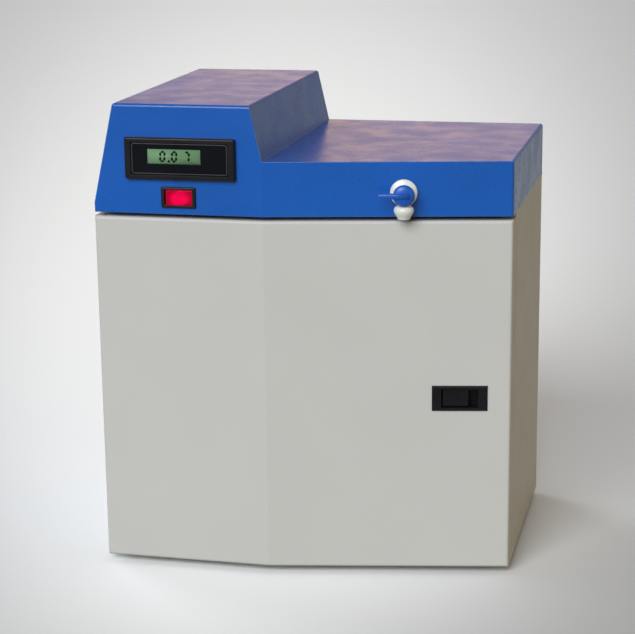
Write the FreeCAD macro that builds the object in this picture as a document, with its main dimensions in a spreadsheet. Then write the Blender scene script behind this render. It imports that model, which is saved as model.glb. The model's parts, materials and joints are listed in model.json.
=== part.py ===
import FreeCAD, Part
import math
import os
import Sketcher

# A bench water purifier: a grey sheet-metal cabinet with a full front door, under a folded blue head that
# carries a panel meter, a lit rocker switch and a small tap. All lengths are millimetres.
# Cabinet places are counted from the front left bottom corner: x to the right, y towards the back, z up.
# The front has one vertical crease. Left of it the front is square, and right of it the front recedes as a
# flat facet. Facet places are counted from the crease: x along the facet, y inwards from its face, z up.

SIZES = {
    # Cabinet and sheet metal
    "cabinet_width": 350,
    "cabinet_depth": 255,
    "crease_from_left": 147,
    "right_setback": 38.5,
    "sheet_wall": 1.2,
    "fold_radius": 2.5,
    "side_return": 14,
    "pan_flange": 16,
    "deck_flange": 16,
    "flat_gap": 0.3,
    "running_gap": 0.05,
    # Feet
    "foot_height": 6,
    "foot_radius": 11,
    "foot_inset": 32,
    "foot_stem_radius": 2.4,
    "foot_stem_length": 3,
    # Door
    "door_height": 305,
    "door_depth": 20,
    "door_seam": 2.3,
    "head_gap": 3.5,
    # Door pivots
    "pivot_inset": 7,
    "pivot_pin_radius": 2,
    "pivot_pin_head": 3.5,
    "bush_wall": 1.4,
    "bush_flange": 1,
    "bracket_thick": 2.5,
    "bracket_nose": 4,
    "bracket_arm_back": 1,
    "bracket_tab_start": 16.5,
    "bracket_tab_width": 17,
    "bracket_tab_height": 11,
    # Head
    "head_low_height": 46,
    "head_high_height": 92,
    "head_lip": 8,
    "head_side_slope": 0.223,
    "head_front_return": 9,
    # Meter
    "meter_from_left": 77.5,
    "meter_above_head": 47.2,
    "meter_width": 95,
    "meter_height": 35,
    "meter_proud": 5,
    "meter_corner": 1.5,
    "meter_plate_width": 84,
    "meter_plate_height": 27,
    "meter_plate_sunk": 0.8,
    "meter_body_width": 88,
    "meter_body_height": 30,
    "meter_body_depth": 42,
    "meter_body_wall": 1.6,
    "display_width": 46,
    "display_height": 12.6,
    "display_shift": -4.6,
    "display_rise": 2,
    # Rocker switch
    "switch_from_left": 74.9,
    "switch_above_head": 14.4,
    "switch_width": 30,
    "switch_height": 18,
    "switch_proud": 2,
    "switch_body_width": 26.4,
    "switch_body_height": 15.6,
    "switch_body_depth": 20,
    "switch_opening_width": 24.4,
    "switch_opening_height": 13.4,
    "rocker_half_width": 10.9,
    "rocker_half_height": 6.3,
    "rocker_reach": 7.9,
    "rocker_hollow": 1.6,
    "rocker_tilt": 8,
    "rocker_pivot_depth": 4.5,
    "rocker_pin_radius": 1.3,
    "rocker_pin_length": 0.9,
    # Tap
    "tap_from_crease": 116.5,
    "tap_above_head": 20.4,
    "tap_flange_radius": 11.3,
    "tap_flange_thick": 3,
    "tap_barrel_radius": 6.5,
    "tap_reach": 9.2,
    "tap_neck_radius": 4.7,
    "tap_bulb_radius": 8.4,
    "tap_bulb_drop": 14,
    "tap_nozzle_radius": 5.25,
    "tap_drop": 20.6,
    "tap_bore_radius": 2.5,
    "tap_thread_radius": 6,
    "tap_thread_length": 16,
    "tap_nut_radius": 11,
    "tap_nut_thick": 6,
    "tap_washer_thick": 1,
    "tap_disc_radius": 8.9,
    "tap_disc_front": 17.6,
    "tap_disc_thick": 3,
    "tap_lever_length": 22.4,
    "tap_lever_width": 5.2,
    "tap_lever_proud": 3,
    "tap_stem_radius": 3,
    "tap_stem_length": 2.2,
    # Latch
    "latch_from_right": 42.9,
    "latch_width": 47,
    "latch_height": 22,
    "latch_proud": 1.6,
    "latch_body_width": 43,
    "latch_body_height": 18.6,
    "latch_body_depth": 31.5,
    "latch_wall": 1.5,
    "latch_window_width": 31,
    "latch_window_height": 16,
    "latch_recess_depth": 11,
    "latch_arm_depth": 6.5,
    "paddle_right": 7.8,
    "paddle_swing_gap": 0.8,
    "paddle_thick": 2.5,
    "paddle_sunk": 0.4,
    "paddle_pivot_left": 6,
    "paddle_pivot_depth": 4,
    "paddle_pin_radius": 1.5,
    "paddle_hub_radius": 2.6,
    "paddle_nose_radius": 1.5,
    "paddle_nose_left": 13,
    "paddle_nose_depth": 6,
    "bolt_travel": 5,
    "bolt_front": 25.2,
    "bolt_thick": 4.4,
    "bolt_half_height": 4,
    "bolt_reach": 32.7,
    "bolt_bevel": 3.2,
    "bolt_ramp_slope": 0.426,
    "bolt_clearance": 1,
    "strike_thick": 1,
    "strike_height": 44,
    # Filters
    "cartridge_radius": 25,
    "cartridge_cap_radius": 27,
    "cartridge_cap_height": 18,
    "cartridge_length": 172,
    "cartridge_from_rear": 83,
    "cartridge_pitch": 62,
    "cartridge_from_right": 44,
    "port_radius": 6.5,
    "port_length": 11,
    "plate_left": 24,
    "plate_from_right": 14,
    "plate_top_gap": 2,
    "plate_gap": 3,
    "clip_thick": 2,
    "clip_height": 14,
    "clip_gap": 5,
    "clip_foot": 16,
    "resin_inset": 2,
    # Tubes
    "tube_radius": 3.2,
    "tube_bore": 2.1,
    "tube_bend": 12,
    "tube_straight": 0.5,
    "tube_seat": 8,
    # Pump
    "pump_motor_radius": 29,
    "pump_motor_length": 62,
    "pump_head_size": 58,
    "pump_head_length": 40,
    "pump_shelf": 9,
    "pump_bush_radius": 6,
    "pump_shelf_thick": 2,
    # Valve
    "valve_size": 26,
    "valve_height": 34,
    "coil_size": 30,
    "coil_length": 34,
    # Power supply
    "supply_left": 30,
    "supply_gap": 3,
    "supply_length": 96,
    "supply_width": 58,
    "supply_height": 36,
    # Back fittings
    "mains_from_left": 60,
    "mains_above": 46,
    "mains_width": 27,
    "mains_height": 20,
    "union_radius": 8.5,
    "union_hole": 6.4,
    "inlet_above": 34,
    "drain_above": 70,
    "drain_from_right": 74,
    "union_reach": 16,
    "union_collar": 4,
    "union_chamfer": 1,
    "union_seat": 12,
    "vent_count": 9,
    "vent_pitch": 10,
    "vent_length": 52,
    "vent_width": 4,
    "vent_above": 150,
    "vent_from_left": 120,
    "screw_radius": 1.9,
    "screw_head_radius": 3.6,
    "screw_head_thick": 2.2,
    "screw_length": 7,
    "screw_inset": 7.5,
}

document = FreeCAD.newDocument("BenchWaterPurifier")
sheet = document.addObject("Spreadsheet::Sheet", "Sizes")
for row, (alias, amount) in enumerate(SIZES.items(), start=1):
    sheet.set(f"A{row}", alias)
    sheet.set(f"B{row}", str(amount))
    sheet.setAlias(f"B{row}", alias)
document.recompute()


class Size:
    """A number together with the sheet expression that gives it, so that arithmetic keeps both."""

    def __init__(self, value, text):
        self.value = float(value)
        self.text = text

    def __add__(self, other):
        other = as_size(other)
        return Size(self.value + other.value, f"({self.text} + {other.text})")

    def __sub__(self, other):
        other = as_size(other)
        return Size(self.value - other.value, f"({self.text} - {other.text})")

    def __mul__(self, other):
        other = as_size(other)
        return Size(self.value * other.value, f"({self.text} * {other.text})")

    def __truediv__(self, other):
        other = as_size(other)
        return Size(self.value / other.value, f"({self.text} / {other.text})")

    def __neg__(self):
        return Size(-self.value, f"(0 - {self.text})")

    def __radd__(self, other):
        return as_size(other) + self

    def __rsub__(self, other):
        return as_size(other) - self

    def __rmul__(self, other):
        return as_size(other) * self


def as_size(amount):
    """A plain number as a Size."""
    return amount if isinstance(amount, Size) else Size(amount, repr(float(amount)))


def root(amount):
    """The square root of a Size."""
    return Size(math.sqrt(amount.value), f"sqrt({amount.text})")


class Sheet:
    """The sheet's cells by name."""

    def __getattr__(self, name):
        return Size(SIZES[name], f"Sizes.{name}")


size = Sheet()
wall = size.sheet_wall

# The receding facet: its rise per length, its own length and its angle
facet_run = size.cabinet_width - size.crease_from_left
facet_length = root(facet_run * facet_run + size.right_setback * size.right_setback)
facet_slope = size.right_setback / facet_run
facet_cos = facet_run / facet_length
facet_sin = size.right_setback / facet_length
facet_stretch = facet_length / facet_run
facet_half_tan = (facet_stretch - 1) / facet_slope
facet_angle = f"atan({facet_slope.text})"

# Levels above the bench, and depths from the front
cabinet_bottom = size.foot_height
head_bottom_local = size.door_height + size.head_gap
head_bottom = cabinet_bottom + head_bottom_local
deck_under = head_bottom_local - wall
jamb = size.door_depth + size.door_seam
rear_face = size.cabinet_depth - wall
rear_inner = size.cabinet_depth - 2 * wall
middle_x = size.cabinet_width * 0.5
middle_y = (size.cabinet_depth + size.union_reach - size.meter_proud) * 0.5


# Document helpers
def new_body(label, x=0, y=0, z=0, on_facet=False):
    """A body whose own origin lies at a cabinet place, or at a facet place and turned with the facet."""
    body = document.addObject("PartDesign::Body", label)
    body.Label = label
    body.AllowCompound = True
    x, y, z = as_size(x), as_size(y), as_size(z)
    if on_facet:
        body.Placement = FreeCAD.Placement(FreeCAD.Vector(), FreeCAD.Rotation(FreeCAD.Vector(0, 0, 1), 1))
        body.setExpression("Placement.Rotation.Angle", facet_angle)
        x, y = size.crease_from_left + x * facet_cos - y * facet_sin, x * facet_sin + y * facet_cos
    body.setExpression("Placement.Base.x", (x - middle_x).text)
    body.setExpression("Placement.Base.y", (y - middle_y).text)
    body.setExpression("Placement.Base.z", z.text)
    return body


def constrain(sketch, kind, index, point, amount):
    """Ties one point of the sketch to its origin by a sheet expression."""
    number = sketch.addConstraint(Sketcher.Constraint(kind, -1, 1, index, point, amount.value))
    sketch.setExpression(f"Constraints[{number}]", amount.text)


def polygon(*points):
    """A closed outline of straight lines through the points."""

    def draw(sketch):
        corners = [(as_size(x), as_size(y)) for x, y in points]
        first = sketch.GeometryCount
        count = len(corners)
        for i in range(count):
            start, end = corners[i], corners[(i + 1) % count]
            sketch.addGeometry(
                Part.LineSegment(
                    FreeCAD.Vector(start[0].value, start[1].value, 0),
                    FreeCAD.Vector(end[0].value, end[1].value, 0),
                )
            )
        for i in range(count):
            sketch.addConstraint(Sketcher.Constraint("Coincident", first + i, 2, first + (i + 1) % count, 1))
        for i, (x, y) in enumerate(corners):
            constrain(sketch, "DistanceX", first + i, 1, x)
            constrain(sketch, "DistanceY", first + i, 1, y)

    return draw


def rectangle(left, low, right, high):
    """A closed upright rectangle."""
    return polygon((left, low), (right, low), (right, high), (left, high))


def centred(x, y, width, height):
    """A rectangle about a centre."""
    x, y, width, height = as_size(x), as_size(y), as_size(width), as_size(height)
    return rectangle(x - width * 0.5, y - height * 0.5, x + width * 0.5, y + height * 0.5)


def circle(x, y, radius):
    """A circle about a centre."""

    def draw(sketch):
        centre_x, centre_y, reach = as_size(x), as_size(y), as_size(radius)
        centre = FreeCAD.Vector(centre_x.value, centre_y.value, 0)
        index = sketch.addGeometry(Part.Circle(centre, FreeCAD.Vector(0, 0, 1), reach.value))
        constrain(sketch, "DistanceX", index, 3, centre_x)
        constrain(sketch, "DistanceY", index, 3, centre_y)
        number = sketch.addConstraint(Sketcher.Constraint("Radius", index, reach.value))
        sketch.setExpression(f"Constraints[{number}]", reach.text)

    return draw


def origin_plane(body, role):
    """One of the body's own three origin planes."""
    for feature in body.Origin.OriginFeatures:
        if feature.Role == role:
            return feature


def add_sketch(body, role, start, outlines):
    """A sketch of the outlines, this far along the axis that its plane faces."""
    sketch = body.newObject("Sketcher::SketchObject", f"{body.Label}_sketch")
    sketch.AttachmentSupport = [(origin_plane(body, role), "")]
    sketch.MapMode = "FlatFace"
    offset = -as_size(start) if role == "XZ_Plane" else as_size(start)
    sketch.setExpression("AttachmentOffset.Base.z", offset.text)
    for draw in outlines:
        draw(sketch)
    return sketch


def pad(body, role, start, length, *outlines):
    """Adds the outlines as a solid that runs from start along the axis."""
    feature = body.newObject("PartDesign::Pad", f"{body.Label}_pad")
    feature.Profile = add_sketch(body, role, start, outlines)
    feature.setExpression("Length", as_size(length).text)
    feature.Reversed = role == "XZ_Plane"
    return feature


def pocket(body, role, start, length, *outlines):
    """Cuts the outlines away from start along the axis."""
    feature = body.newObject("PartDesign::Pocket", f"{body.Label}_pocket")
    feature.Profile = add_sketch(body, role, start, outlines)
    feature.setExpression("Length", as_size(length).text)
    feature.Reversed = role != "XZ_Plane"
    return feature


def turn(body, axis, points, kind="PartDesign::Revolution"):
    """Turns an outline of (radius, place along the axis) points about the body's own axis."""
    if axis == "X":
        role, reference = "XY_Plane", "H_Axis"
        points = [(along, radius) for radius, along in points]
    else:
        role, reference = ("XZ_Plane" if axis == "Z" else "XY_Plane"), "V_Axis"
    feature = body.newObject(kind, f"{body.Label}_turn")
    sketch = add_sketch(body, role, 0, [polygon(*points)])
    feature.Profile = sketch
    feature.ReferenceAxis = (sketch, [reference])
    feature.Angle = 360
    return feature


def round_edges(body, radius, wanted):
    """Rounds each edge of the body that the test wants."""
    document.recompute()
    base = body.Tip
    names = [f"Edge{i}" for i, edge in enumerate(base.Shape.Edges, start=1) if wanted(edge)]
    feature = body.newObject("PartDesign::Fillet", f"{body.Label}_round")
    feature.Base = (base, names)
    feature.setExpression("Radius", as_size(radius).text)
    return feature


def runs_along(edge, axis):
    """True for a straight edge along one axis."""
    if edge.Curve.TypeId != "Part::GeomLine":
        return False
    step = edge.Vertexes[1].Point - edge.Vertexes[0].Point
    return abs(abs(step.dot(axis)) - step.Length) < 1e-6


def near(value, target):
    """True where two places agree."""
    return abs(value - as_size(target).value) < 1e-4


X_AXIS = FreeCAD.Vector(1, 0, 0)
Y_AXIS = FreeCAD.Vector(0, 1, 0)
Z_AXIS = FreeCAD.Vector(0, 0, 1)


def middle(edge):
    """The point halfway along an edge."""
    return edge.valueAt((edge.FirstParameter + edge.LastParameter) * 0.5)


# The folded front line
def facet_y(x, back):
    """How far back the facet lies at this x, on a line set back from its face."""
    return (x - size.crease_from_left) * facet_slope + back * facet_stretch


def front_line(left, right, back):
    """The front's outline from left to right, set back evenly behind its face."""
    back = as_size(back)
    return [
        (left, back),
        (size.crease_from_left - back * facet_half_tan, back),
        (right, facet_y(right, back)),
    ]


def footprint(inset_sides, front_back, rear):
    """The cabinet's five-sided plan, drawn in from its sides, front and rear."""
    left, right = as_size(inset_sides), size.cabinet_width - inset_sides
    return polygon(*front_line(left, right, front_back), (right, rear), (left, rear))


# Cabinet
def foot_places():
    """The feet's centres in plan."""
    left = size.foot_inset
    right = size.cabinet_width - size.foot_inset
    rear = size.cabinet_depth - size.foot_inset
    return [
        (left, jamb + size.foot_inset),
        (right, facet_y(right, jamb) + size.foot_inset),
        (left, rear),
        (right, rear),
    ]


def make_feet():
    body = new_body("rubber_feet")
    feet = [circle(x, y, size.foot_radius) for x, y in foot_places()]
    stems = [circle(x, y, size.foot_stem_radius) for x, y in foot_places()]
    pad(body, "XY_Plane", 0, size.foot_height, *feet)
    pad(body, "XY_Plane", size.foot_height, size.foot_stem_length, *stems)
    round_edges(
        body,
        size.foot_height * 0.25,
        lambda edge: edge.Curve.TypeId == "Part::GeomCircle"
        and near(edge.Curve.Radius, size.foot_radius)
        and near(edge.Curve.Center.z, 0),
    )


def bracket_screw_places():
    """The pivot bracket's two screws: x, and height above the pan or below the deck."""
    start = size.pivot_inset + size.bracket_tab_start
    height = bracket_level() + size.bracket_thick + (size.bracket_tab_height - size.bracket_thick) * 0.5
    return [(start + size.bracket_tab_width * part, height) for part in (0.25, 0.75)]


def bracket_level():
    """How far the pivot bracket's plate lies above the door's lower edge."""
    return wall + size.bush_flange + size.flat_gap


def make_base_pan():
    body = new_body("base_pan", 0, 0, cabinet_bottom)
    pad(body, "XY_Plane", 0, size.pan_flange, footprint(wall, jamb + wall, rear_inner))
    inner = footprint(2 * wall, jamb + 2 * wall, rear_inner - wall)
    pocket(body, "XY_Plane", wall, size.pan_flange, inner)
    holes = [circle(x, y, size.foot_stem_radius + size.flat_gap) for x, y in foot_places()]
    pocket(body, "XY_Plane", 0, wall, *holes)
    screw_holes = [circle(x, z, size.screw_radius + size.flat_gap) for x, z in bracket_screw_places()]
    pocket(body, "XZ_Plane", jamb + wall, wall, *screw_holes)


def rear_screw_heights():
    """Heights of the rear panel's screws above the cabinet's lower edge."""
    return [head_bottom_local * part for part in (0.1, 0.37, 0.63, 0.9)]


def rear_screw_places():
    """The rear panel's screws: x, and height above the cabinet's lower edge."""
    columns = (size.screw_inset, size.cabinet_width - size.screw_inset)
    return [(x, z) for x in columns for z in rear_screw_heights()]


def drill_returns(body, column):
    """Cuts one side's screw holes through its rear return."""
    hole = size.screw_radius + size.flat_gap
    pocket(body, "XZ_Plane", rear_face, wall, *[circle(column, z, hole) for z in rear_screw_heights()])


def make_left_side():
    body = new_body("left_side", 0, 0, cabinet_bottom)
    outline = polygon(
        (0, jamb),
        (size.side_return, jamb),
        (size.side_return, jamb + wall),
        (wall, jamb + wall),
        (wall, rear_face),
        (size.side_return, rear_face),
        (size.side_return, size.cabinet_depth),
        (0, size.cabinet_depth),
    )
    pad(body, "XY_Plane", 0, deck_under, outline)
    drill_returns(body, size.screw_inset)
    round_edges(body, size.fold_radius, lambda edge: runs_along(edge, Z_AXIS) and near(middle(edge).x, 0))


def make_right_side():
    body = new_body("right_side", 0, 0, cabinet_bottom)
    outer = size.cabinet_width
    inner = outer - wall
    edge_x = outer - size.side_return
    outline = polygon(
        (outer, facet_y(outer, jamb)),
        (outer, size.cabinet_depth),
        (edge_x, size.cabinet_depth),
        (edge_x, rear_face),
        (inner, rear_face),
        (inner, facet_y(inner, jamb + wall)),
        (edge_x, facet_y(edge_x, jamb + wall)),
        (edge_x, facet_y(edge_x, jamb)),
    )
    pad(body, "XY_Plane", 0, deck_under, outline)
    drill_returns(body, outer - size.screw_inset)
    round_edges(body, size.fold_radius, lambda edge: runs_along(edge, Z_AXIS) and near(middle(edge).x, outer))


def vent_slots():
    """The rear panel's vent slots."""
    left = size.vent_from_left
    slots = []
    for number in range(SIZES["vent_count"]):
        low = size.vent_above + size.vent_pitch * number
        for start in (left, left + size.vent_length * 1.2):
            slots.append(rectangle(start, low, start + size.vent_length, low + size.vent_width))
    return slots


def make_rear_panel():
    body = new_body("rear_panel", 0, 0, cabinet_bottom)
    pad(body, "XZ_Plane", rear_inner, wall, rectangle(wall, 0, size.cabinet_width - wall, deck_under))
    cuts = [centred(size.mains_from_left, size.mains_above, size.mains_width, size.mains_height)]
    cuts.extend(circle(x, z, size.union_hole + size.flat_gap) for x, z in union_places())
    hole = size.screw_radius + size.flat_gap
    cuts.extend(circle(x, z, hole) for x, z in rear_screw_places())
    pocket(body, "XZ_Plane", rear_inner, wall, *cuts)
    pocket(body, "XZ_Plane", rear_inner, wall, *vent_slots())


def union_places():
    """The inlet and the drain union: x, and height above the cabinet's lower edge."""
    drain_x = size.cabinet_width - size.drain_from_right
    return [(column_x(0), size.inlet_above), (drain_x, size.drain_above)]


def head_screw_places():
    """The screws through the head's rear wall into the deck's tabs: x, and height above the head's edge."""
    reach = size.cabinet_width * 0.2
    return [(reach, size.deck_flange * 0.6), (size.cabinet_width - reach, size.deck_flange * 0.6)]


def make_top_deck():
    body = new_body("top_deck", 0, 0, cabinet_bottom)
    flange, flange_low = size.deck_flange, deck_under - size.deck_flange
    pad(body, "XY_Plane", deck_under, wall, footprint(as_size(0), jamb, size.cabinet_depth))
    pad(body, "XY_Plane", flange_low, flange, footprint(wall, jamb + wall, rear_inner))
    inner = footprint(2 * wall, jamb + 2 * wall, rear_inner - wall)
    pocket(body, "XY_Plane", flange_low, flange, inner)
    tab = size.side_return
    tabs = [rectangle(x - tab, rear_inner, x + tab, rear_face) for x, _ in head_screw_places()]
    pad(body, "XY_Plane", head_bottom_local, flange, *tabs)
    hole = size.screw_radius + size.flat_gap
    holes = [circle(x, head_bottom_local + z, hole) for x, z in head_screw_places()]
    pocket(body, "XZ_Plane", rear_inner, wall, *holes)
    low_holes = [circle(x, size.door_height - z, hole) for x, z in bracket_screw_places()]
    pocket(body, "XZ_Plane", jamb + wall, wall, *low_holes)
    middle_back = size.cabinet_depth * 0.6
    cable_opening = centred(size.meter_from_left, middle_back, size.meter_width * 0.5, size.meter_height)
    pocket(body, "XY_Plane", deck_under, wall, cable_opening, circle(*riser_place(), grommet_radius()))


def make_panel_screws():
    body = new_body("panel_screws", 0, 0, cabinet_bottom)
    places = rear_screw_places() + [(x, head_bottom_local + z) for x, z in head_screw_places()]
    rear = size.cabinet_depth
    shanks = [circle(x, z, size.screw_radius) for x, z in places]
    heads = [circle(x, z, size.screw_head_radius) for x, z in places]
    pad(body, "XZ_Plane", rear - size.screw_length, size.screw_length, *shanks)
    pad(body, "XZ_Plane", rear, size.screw_head_thick, *heads)
    round_edges(
        body,
        size.screw_head_thick * 0.5,
        lambda edge: edge.Curve.TypeId == "Part::GeomCircle"
        and near(edge.Curve.Radius, size.screw_head_radius)
        and near(edge.Curve.Center.y, rear + size.screw_head_thick),
    )


# Door and its pivots
def bush_radius():
    """The door bush's outer radius."""
    return size.pivot_pin_radius + size.running_gap + size.bush_wall


def make_front_door():
    body = new_body("front_door", 0, 0, cabinet_bottom)
    pivot = size.pivot_inset
    width, height = size.cabinet_width, size.door_height
    front = front_line(as_size(0), width, 0)
    back = front_line(as_size(0), width, size.door_depth)
    pad(body, "XY_Plane", 0, height, polygon(*front, *reversed(back)))
    inner_front = front_line(wall, width - wall, wall)
    inner_back = front_line(wall, width - wall, size.door_depth * 1.5)
    pocket(body, "XY_Plane", wall, height - 2 * wall, polygon(*inner_front, *reversed(inner_back)))
    pocket(body, "XY_Plane", 0, height, circle(pivot, pivot, bush_radius()))
    left = size.crease_from_left + (latch_place() - latch_cut_half_width()) * facet_cos
    right = size.crease_from_left + (latch_place() + latch_cut_half_width()) * facet_cos
    low = height * 0.5 - size.latch_body_height * 0.5 - size.flat_gap
    high = height * 0.5 + size.latch_body_height * 0.5 + size.flat_gap
    pocket(body, "XZ_Plane", 0, size.right_setback + 2 * wall, rectangle(left, low, right, high))

    def outer_edge(edge):
        point = middle(edge)
        on_front = near(point.y, 0) or near(point.y, facet_y(as_size(point.x), as_size(0)))
        if runs_along(edge, Z_AXIS):
            tall = edge.Length > height.value * 0.9
            return tall and on_front
        at_end = near(point.z, 0) or near(point.z, height)
        return at_end and on_front

    round_edges(body, size.fold_radius, outer_edge)


def make_door_bushes():
    body = new_body("door_bushes", size.pivot_inset, size.pivot_inset, cabinet_bottom)
    height = size.door_height
    outer, bore = bush_radius(), size.pivot_pin_radius + size.running_gap
    flange = size.bracket_nose
    pad(body, "XY_Plane", 0, wall, circle(0, 0, outer), circle(0, 0, bore))
    pad(body, "XY_Plane", wall, size.bush_flange, circle(0, 0, flange), circle(0, 0, bore))
    pad(body, "XY_Plane", height - wall, wall, circle(0, 0, outer), circle(0, 0, bore))
    upper = height - wall - size.bush_flange
    pad(body, "XY_Plane", upper, size.bush_flange, circle(0, 0, flange), circle(0, 0, bore))


def bracket_outline():
    """The pivot bracket's plate in plan, about the pivot: a nose, an arm to the right and a tail."""
    nose, arm = size.bracket_nose, size.bracket_arm_back
    start = size.bracket_tab_start
    end = start + size.bracket_tab_width
    rear = jamb + wall - size.pivot_inset
    return polygon((0, -nose), (end, -nose), (end, rear), (start, rear), (start, arm), (0, arm))


def make_pivot_brackets():
    body = new_body("pivot_brackets", size.pivot_inset, size.pivot_inset, cabinet_bottom)
    thick, nose = size.bracket_thick, size.bracket_nose
    start = size.bracket_tab_start
    end = start + size.bracket_tab_width
    rear = jamb + wall - size.pivot_inset
    low, high = bracket_level(), size.door_height - bracket_level()
    for plate, tab in ((low, low), (high - thick, high - size.bracket_tab_height)):
        pad(body, "XY_Plane", plate, thick, bracket_outline())
        pad(body, "XY_Plane", plate, thick, circle(0, 0, nose))
        pocket(body, "XY_Plane", plate, thick, circle(0, 0, size.pivot_pin_radius))
        pad(body, "XY_Plane", tab, size.bracket_tab_height, rectangle(start, rear - thick, end, rear))
    hole = size.screw_radius + size.flat_gap
    places = [(x - size.pivot_inset, z) for x, z in bracket_screw_places()]
    holes = [circle(x, z, hole) for x, z in places]
    holes.extend(circle(x, size.door_height - z, hole) for x, z in places)
    pocket(body, "XZ_Plane", rear - thick, thick, *holes)


def make_pivot_pins():
    body = new_body("pivot_pins", size.pivot_inset, size.pivot_inset, cabinet_bottom)
    reach = bracket_level() + size.bracket_thick
    height = size.door_height
    pad(body, "XY_Plane", 0, reach, circle(0, 0, size.pivot_pin_radius))
    pad(body, "XY_Plane", reach, size.bracket_thick * 0.6, circle(0, 0, size.pivot_pin_head))
    pad(body, "XY_Plane", height - reach, reach, circle(0, 0, size.pivot_pin_radius))
    head = size.bracket_thick * 0.6
    pad(body, "XY_Plane", height - reach - head, head, circle(0, 0, size.pivot_pin_head))


def make_bracket_screws():
    body = new_body("bracket_screws", 0, 0, cabinet_bottom)
    places = bracket_screw_places() + [(x, size.door_height - z) for x, z in bracket_screw_places()]
    face = jamb + wall - size.bracket_thick
    shanks = [circle(x, z, size.screw_radius) for x, z in places]
    heads = [circle(x, z, size.screw_head_radius) for x, z in places]
    pad(body, "XZ_Plane", face, size.screw_length, *shanks)
    pad(body, "XZ_Plane", face - size.screw_head_thick, size.screw_head_thick, *heads)


# Latch, in facet places about its own centre
def latch_cut_half_width():
    """Half the width of the door's cut-out for the latch body."""
    return size.latch_body_width * 0.5 + size.flat_gap * 2


def latch_place():
    """The latch's centre along the facet."""
    return facet_length - size.latch_from_right


def latch_body(label):
    return new_body(label, latch_place(), 0, cabinet_bottom + size.door_height * 0.5, on_facet=True)


def make_latch_frame():
    body = latch_body("latch_frame")
    proud, depth, skin = size.latch_proud, size.latch_body_depth, size.latch_wall
    recess, arm_depth = size.latch_recess_depth, size.latch_arm_depth
    half_width, half_height = size.latch_window_width * 0.5, size.latch_window_height * 0.5
    inner_half = size.latch_body_width * 0.5 - skin
    tray_left = size.paddle_hub_radius + size.flat_gap - size.paddle_pivot_left
    pad(body, "XZ_Plane", -proud, proud, centred(0, 0, size.latch_width, size.latch_height))
    round_edges(body, proud * 0.75, lambda edge: near(middle(edge).y, -proud))
    pad(body, "XZ_Plane", 0, depth, centred(0, 0, size.latch_body_width, size.latch_body_height))
    window = rectangle(-half_width, -half_height, half_width, half_height)
    pocket(body, "XZ_Plane", -proud, proud + recess, window)
    tray_wall = rectangle(tray_left, -half_height, tray_left + skin, half_height)
    pad(body, "XZ_Plane", arm_depth, recess - arm_depth, tray_wall)
    arm_room = rectangle(-inner_half, -half_height, tray_left, half_height)
    pocket(body, "XZ_Plane", arm_depth, recess + skin - arm_depth, arm_room)
    chamber = rectangle(-inner_half, -half_height, inner_half, half_height)
    pocket(body, "XZ_Plane", recess + skin, depth - recess - 2 * skin, chamber)
    slot_low = size.bolt_front - size.flat_gap
    slot_high = size.bolt_front + size.bolt_thick + size.flat_gap
    slot_half = size.bolt_half_height + size.flat_gap
    pocket(body, "YZ_Plane", inner_half, skin, rectangle(slot_low, -slot_half, slot_high, slot_half))
    bearing = size.paddle_pin_radius + size.running_gap
    span = size.latch_body_height
    pin_hole = circle(-size.paddle_pivot_left, size.paddle_pivot_depth, bearing)
    pocket(body, "XY_Plane", -span * 0.5, span, pin_hole)


def make_latch_paddle():
    body = latch_body("latch_paddle")
    half_height = size.latch_window_height * 0.5 - size.flat_gap
    left = size.paddle_swing_gap - size.latch_window_width * 0.5
    right, face = size.paddle_right, size.paddle_sunk
    rear = face + size.paddle_thick
    pivot, nose = -size.paddle_pivot_left, -size.paddle_nose_left
    nose_radius = size.paddle_nose_radius
    hub_depth, nose_depth = size.paddle_pivot_depth, size.paddle_nose_depth
    rib = rectangle(nose - nose_radius, rear, nose + nose_radius, nose_depth)
    low, tall = -half_height, half_height * 2
    rib_low, rib_tall = -size.bolt_half_height, size.bolt_half_height * 2
    lip = rectangle(right - size.paddle_thick, rear, right, rear + size.paddle_thick)
    pad(body, "XY_Plane", low, tall, rectangle(left, face, right, rear))
    pad(body, "XY_Plane", low, tall, circle(pivot, hub_depth, size.paddle_hub_radius))
    pad(body, "XY_Plane", low, tall, lip)
    pad(body, "XY_Plane", rib_low, rib_tall, rib)
    pad(body, "XY_Plane", rib_low, rib_tall, circle(nose, nose_depth, nose_radius))
    pin_half = size.latch_body_height * 0.5
    pad(body, "XY_Plane", -pin_half, pin_half * 2, circle(pivot, hub_depth, size.paddle_pin_radius))
    round_edges(body, face * 2.5, lambda edge: near(middle(edge).y, face))


def make_latch_bolt():
    body = latch_body("latch_bolt")
    front = size.bolt_front
    rear = front + size.bolt_thick
    bevel, reach = size.bolt_bevel, size.bolt_reach
    spare, slope = size.bolt_clearance, size.bolt_ramp_slope
    arm_left = size.bolt_travel + spare + size.latch_wall - size.latch_body_width * 0.5
    arm_right = spare - size.paddle_pivot_left
    ramp_start = size.paddle_nose_depth + (size.paddle_nose_radius + size.flat_gap) * root(slope * slope + 1)
    ramp_left = ramp_start + (arm_left + size.paddle_nose_left) * slope
    ramp_right = ramp_start + (arm_right + size.paddle_nose_left) * slope
    outline = polygon(
        (arm_left, ramp_left),
        (arm_right, ramp_right),
        (arm_right, front),
        (reach, front),
        (reach, rear - bevel),
        (reach - bevel, rear),
        (arm_left, rear),
    )
    pad(body, "XY_Plane", -size.bolt_half_height, size.bolt_half_height * 2, outline)


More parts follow.
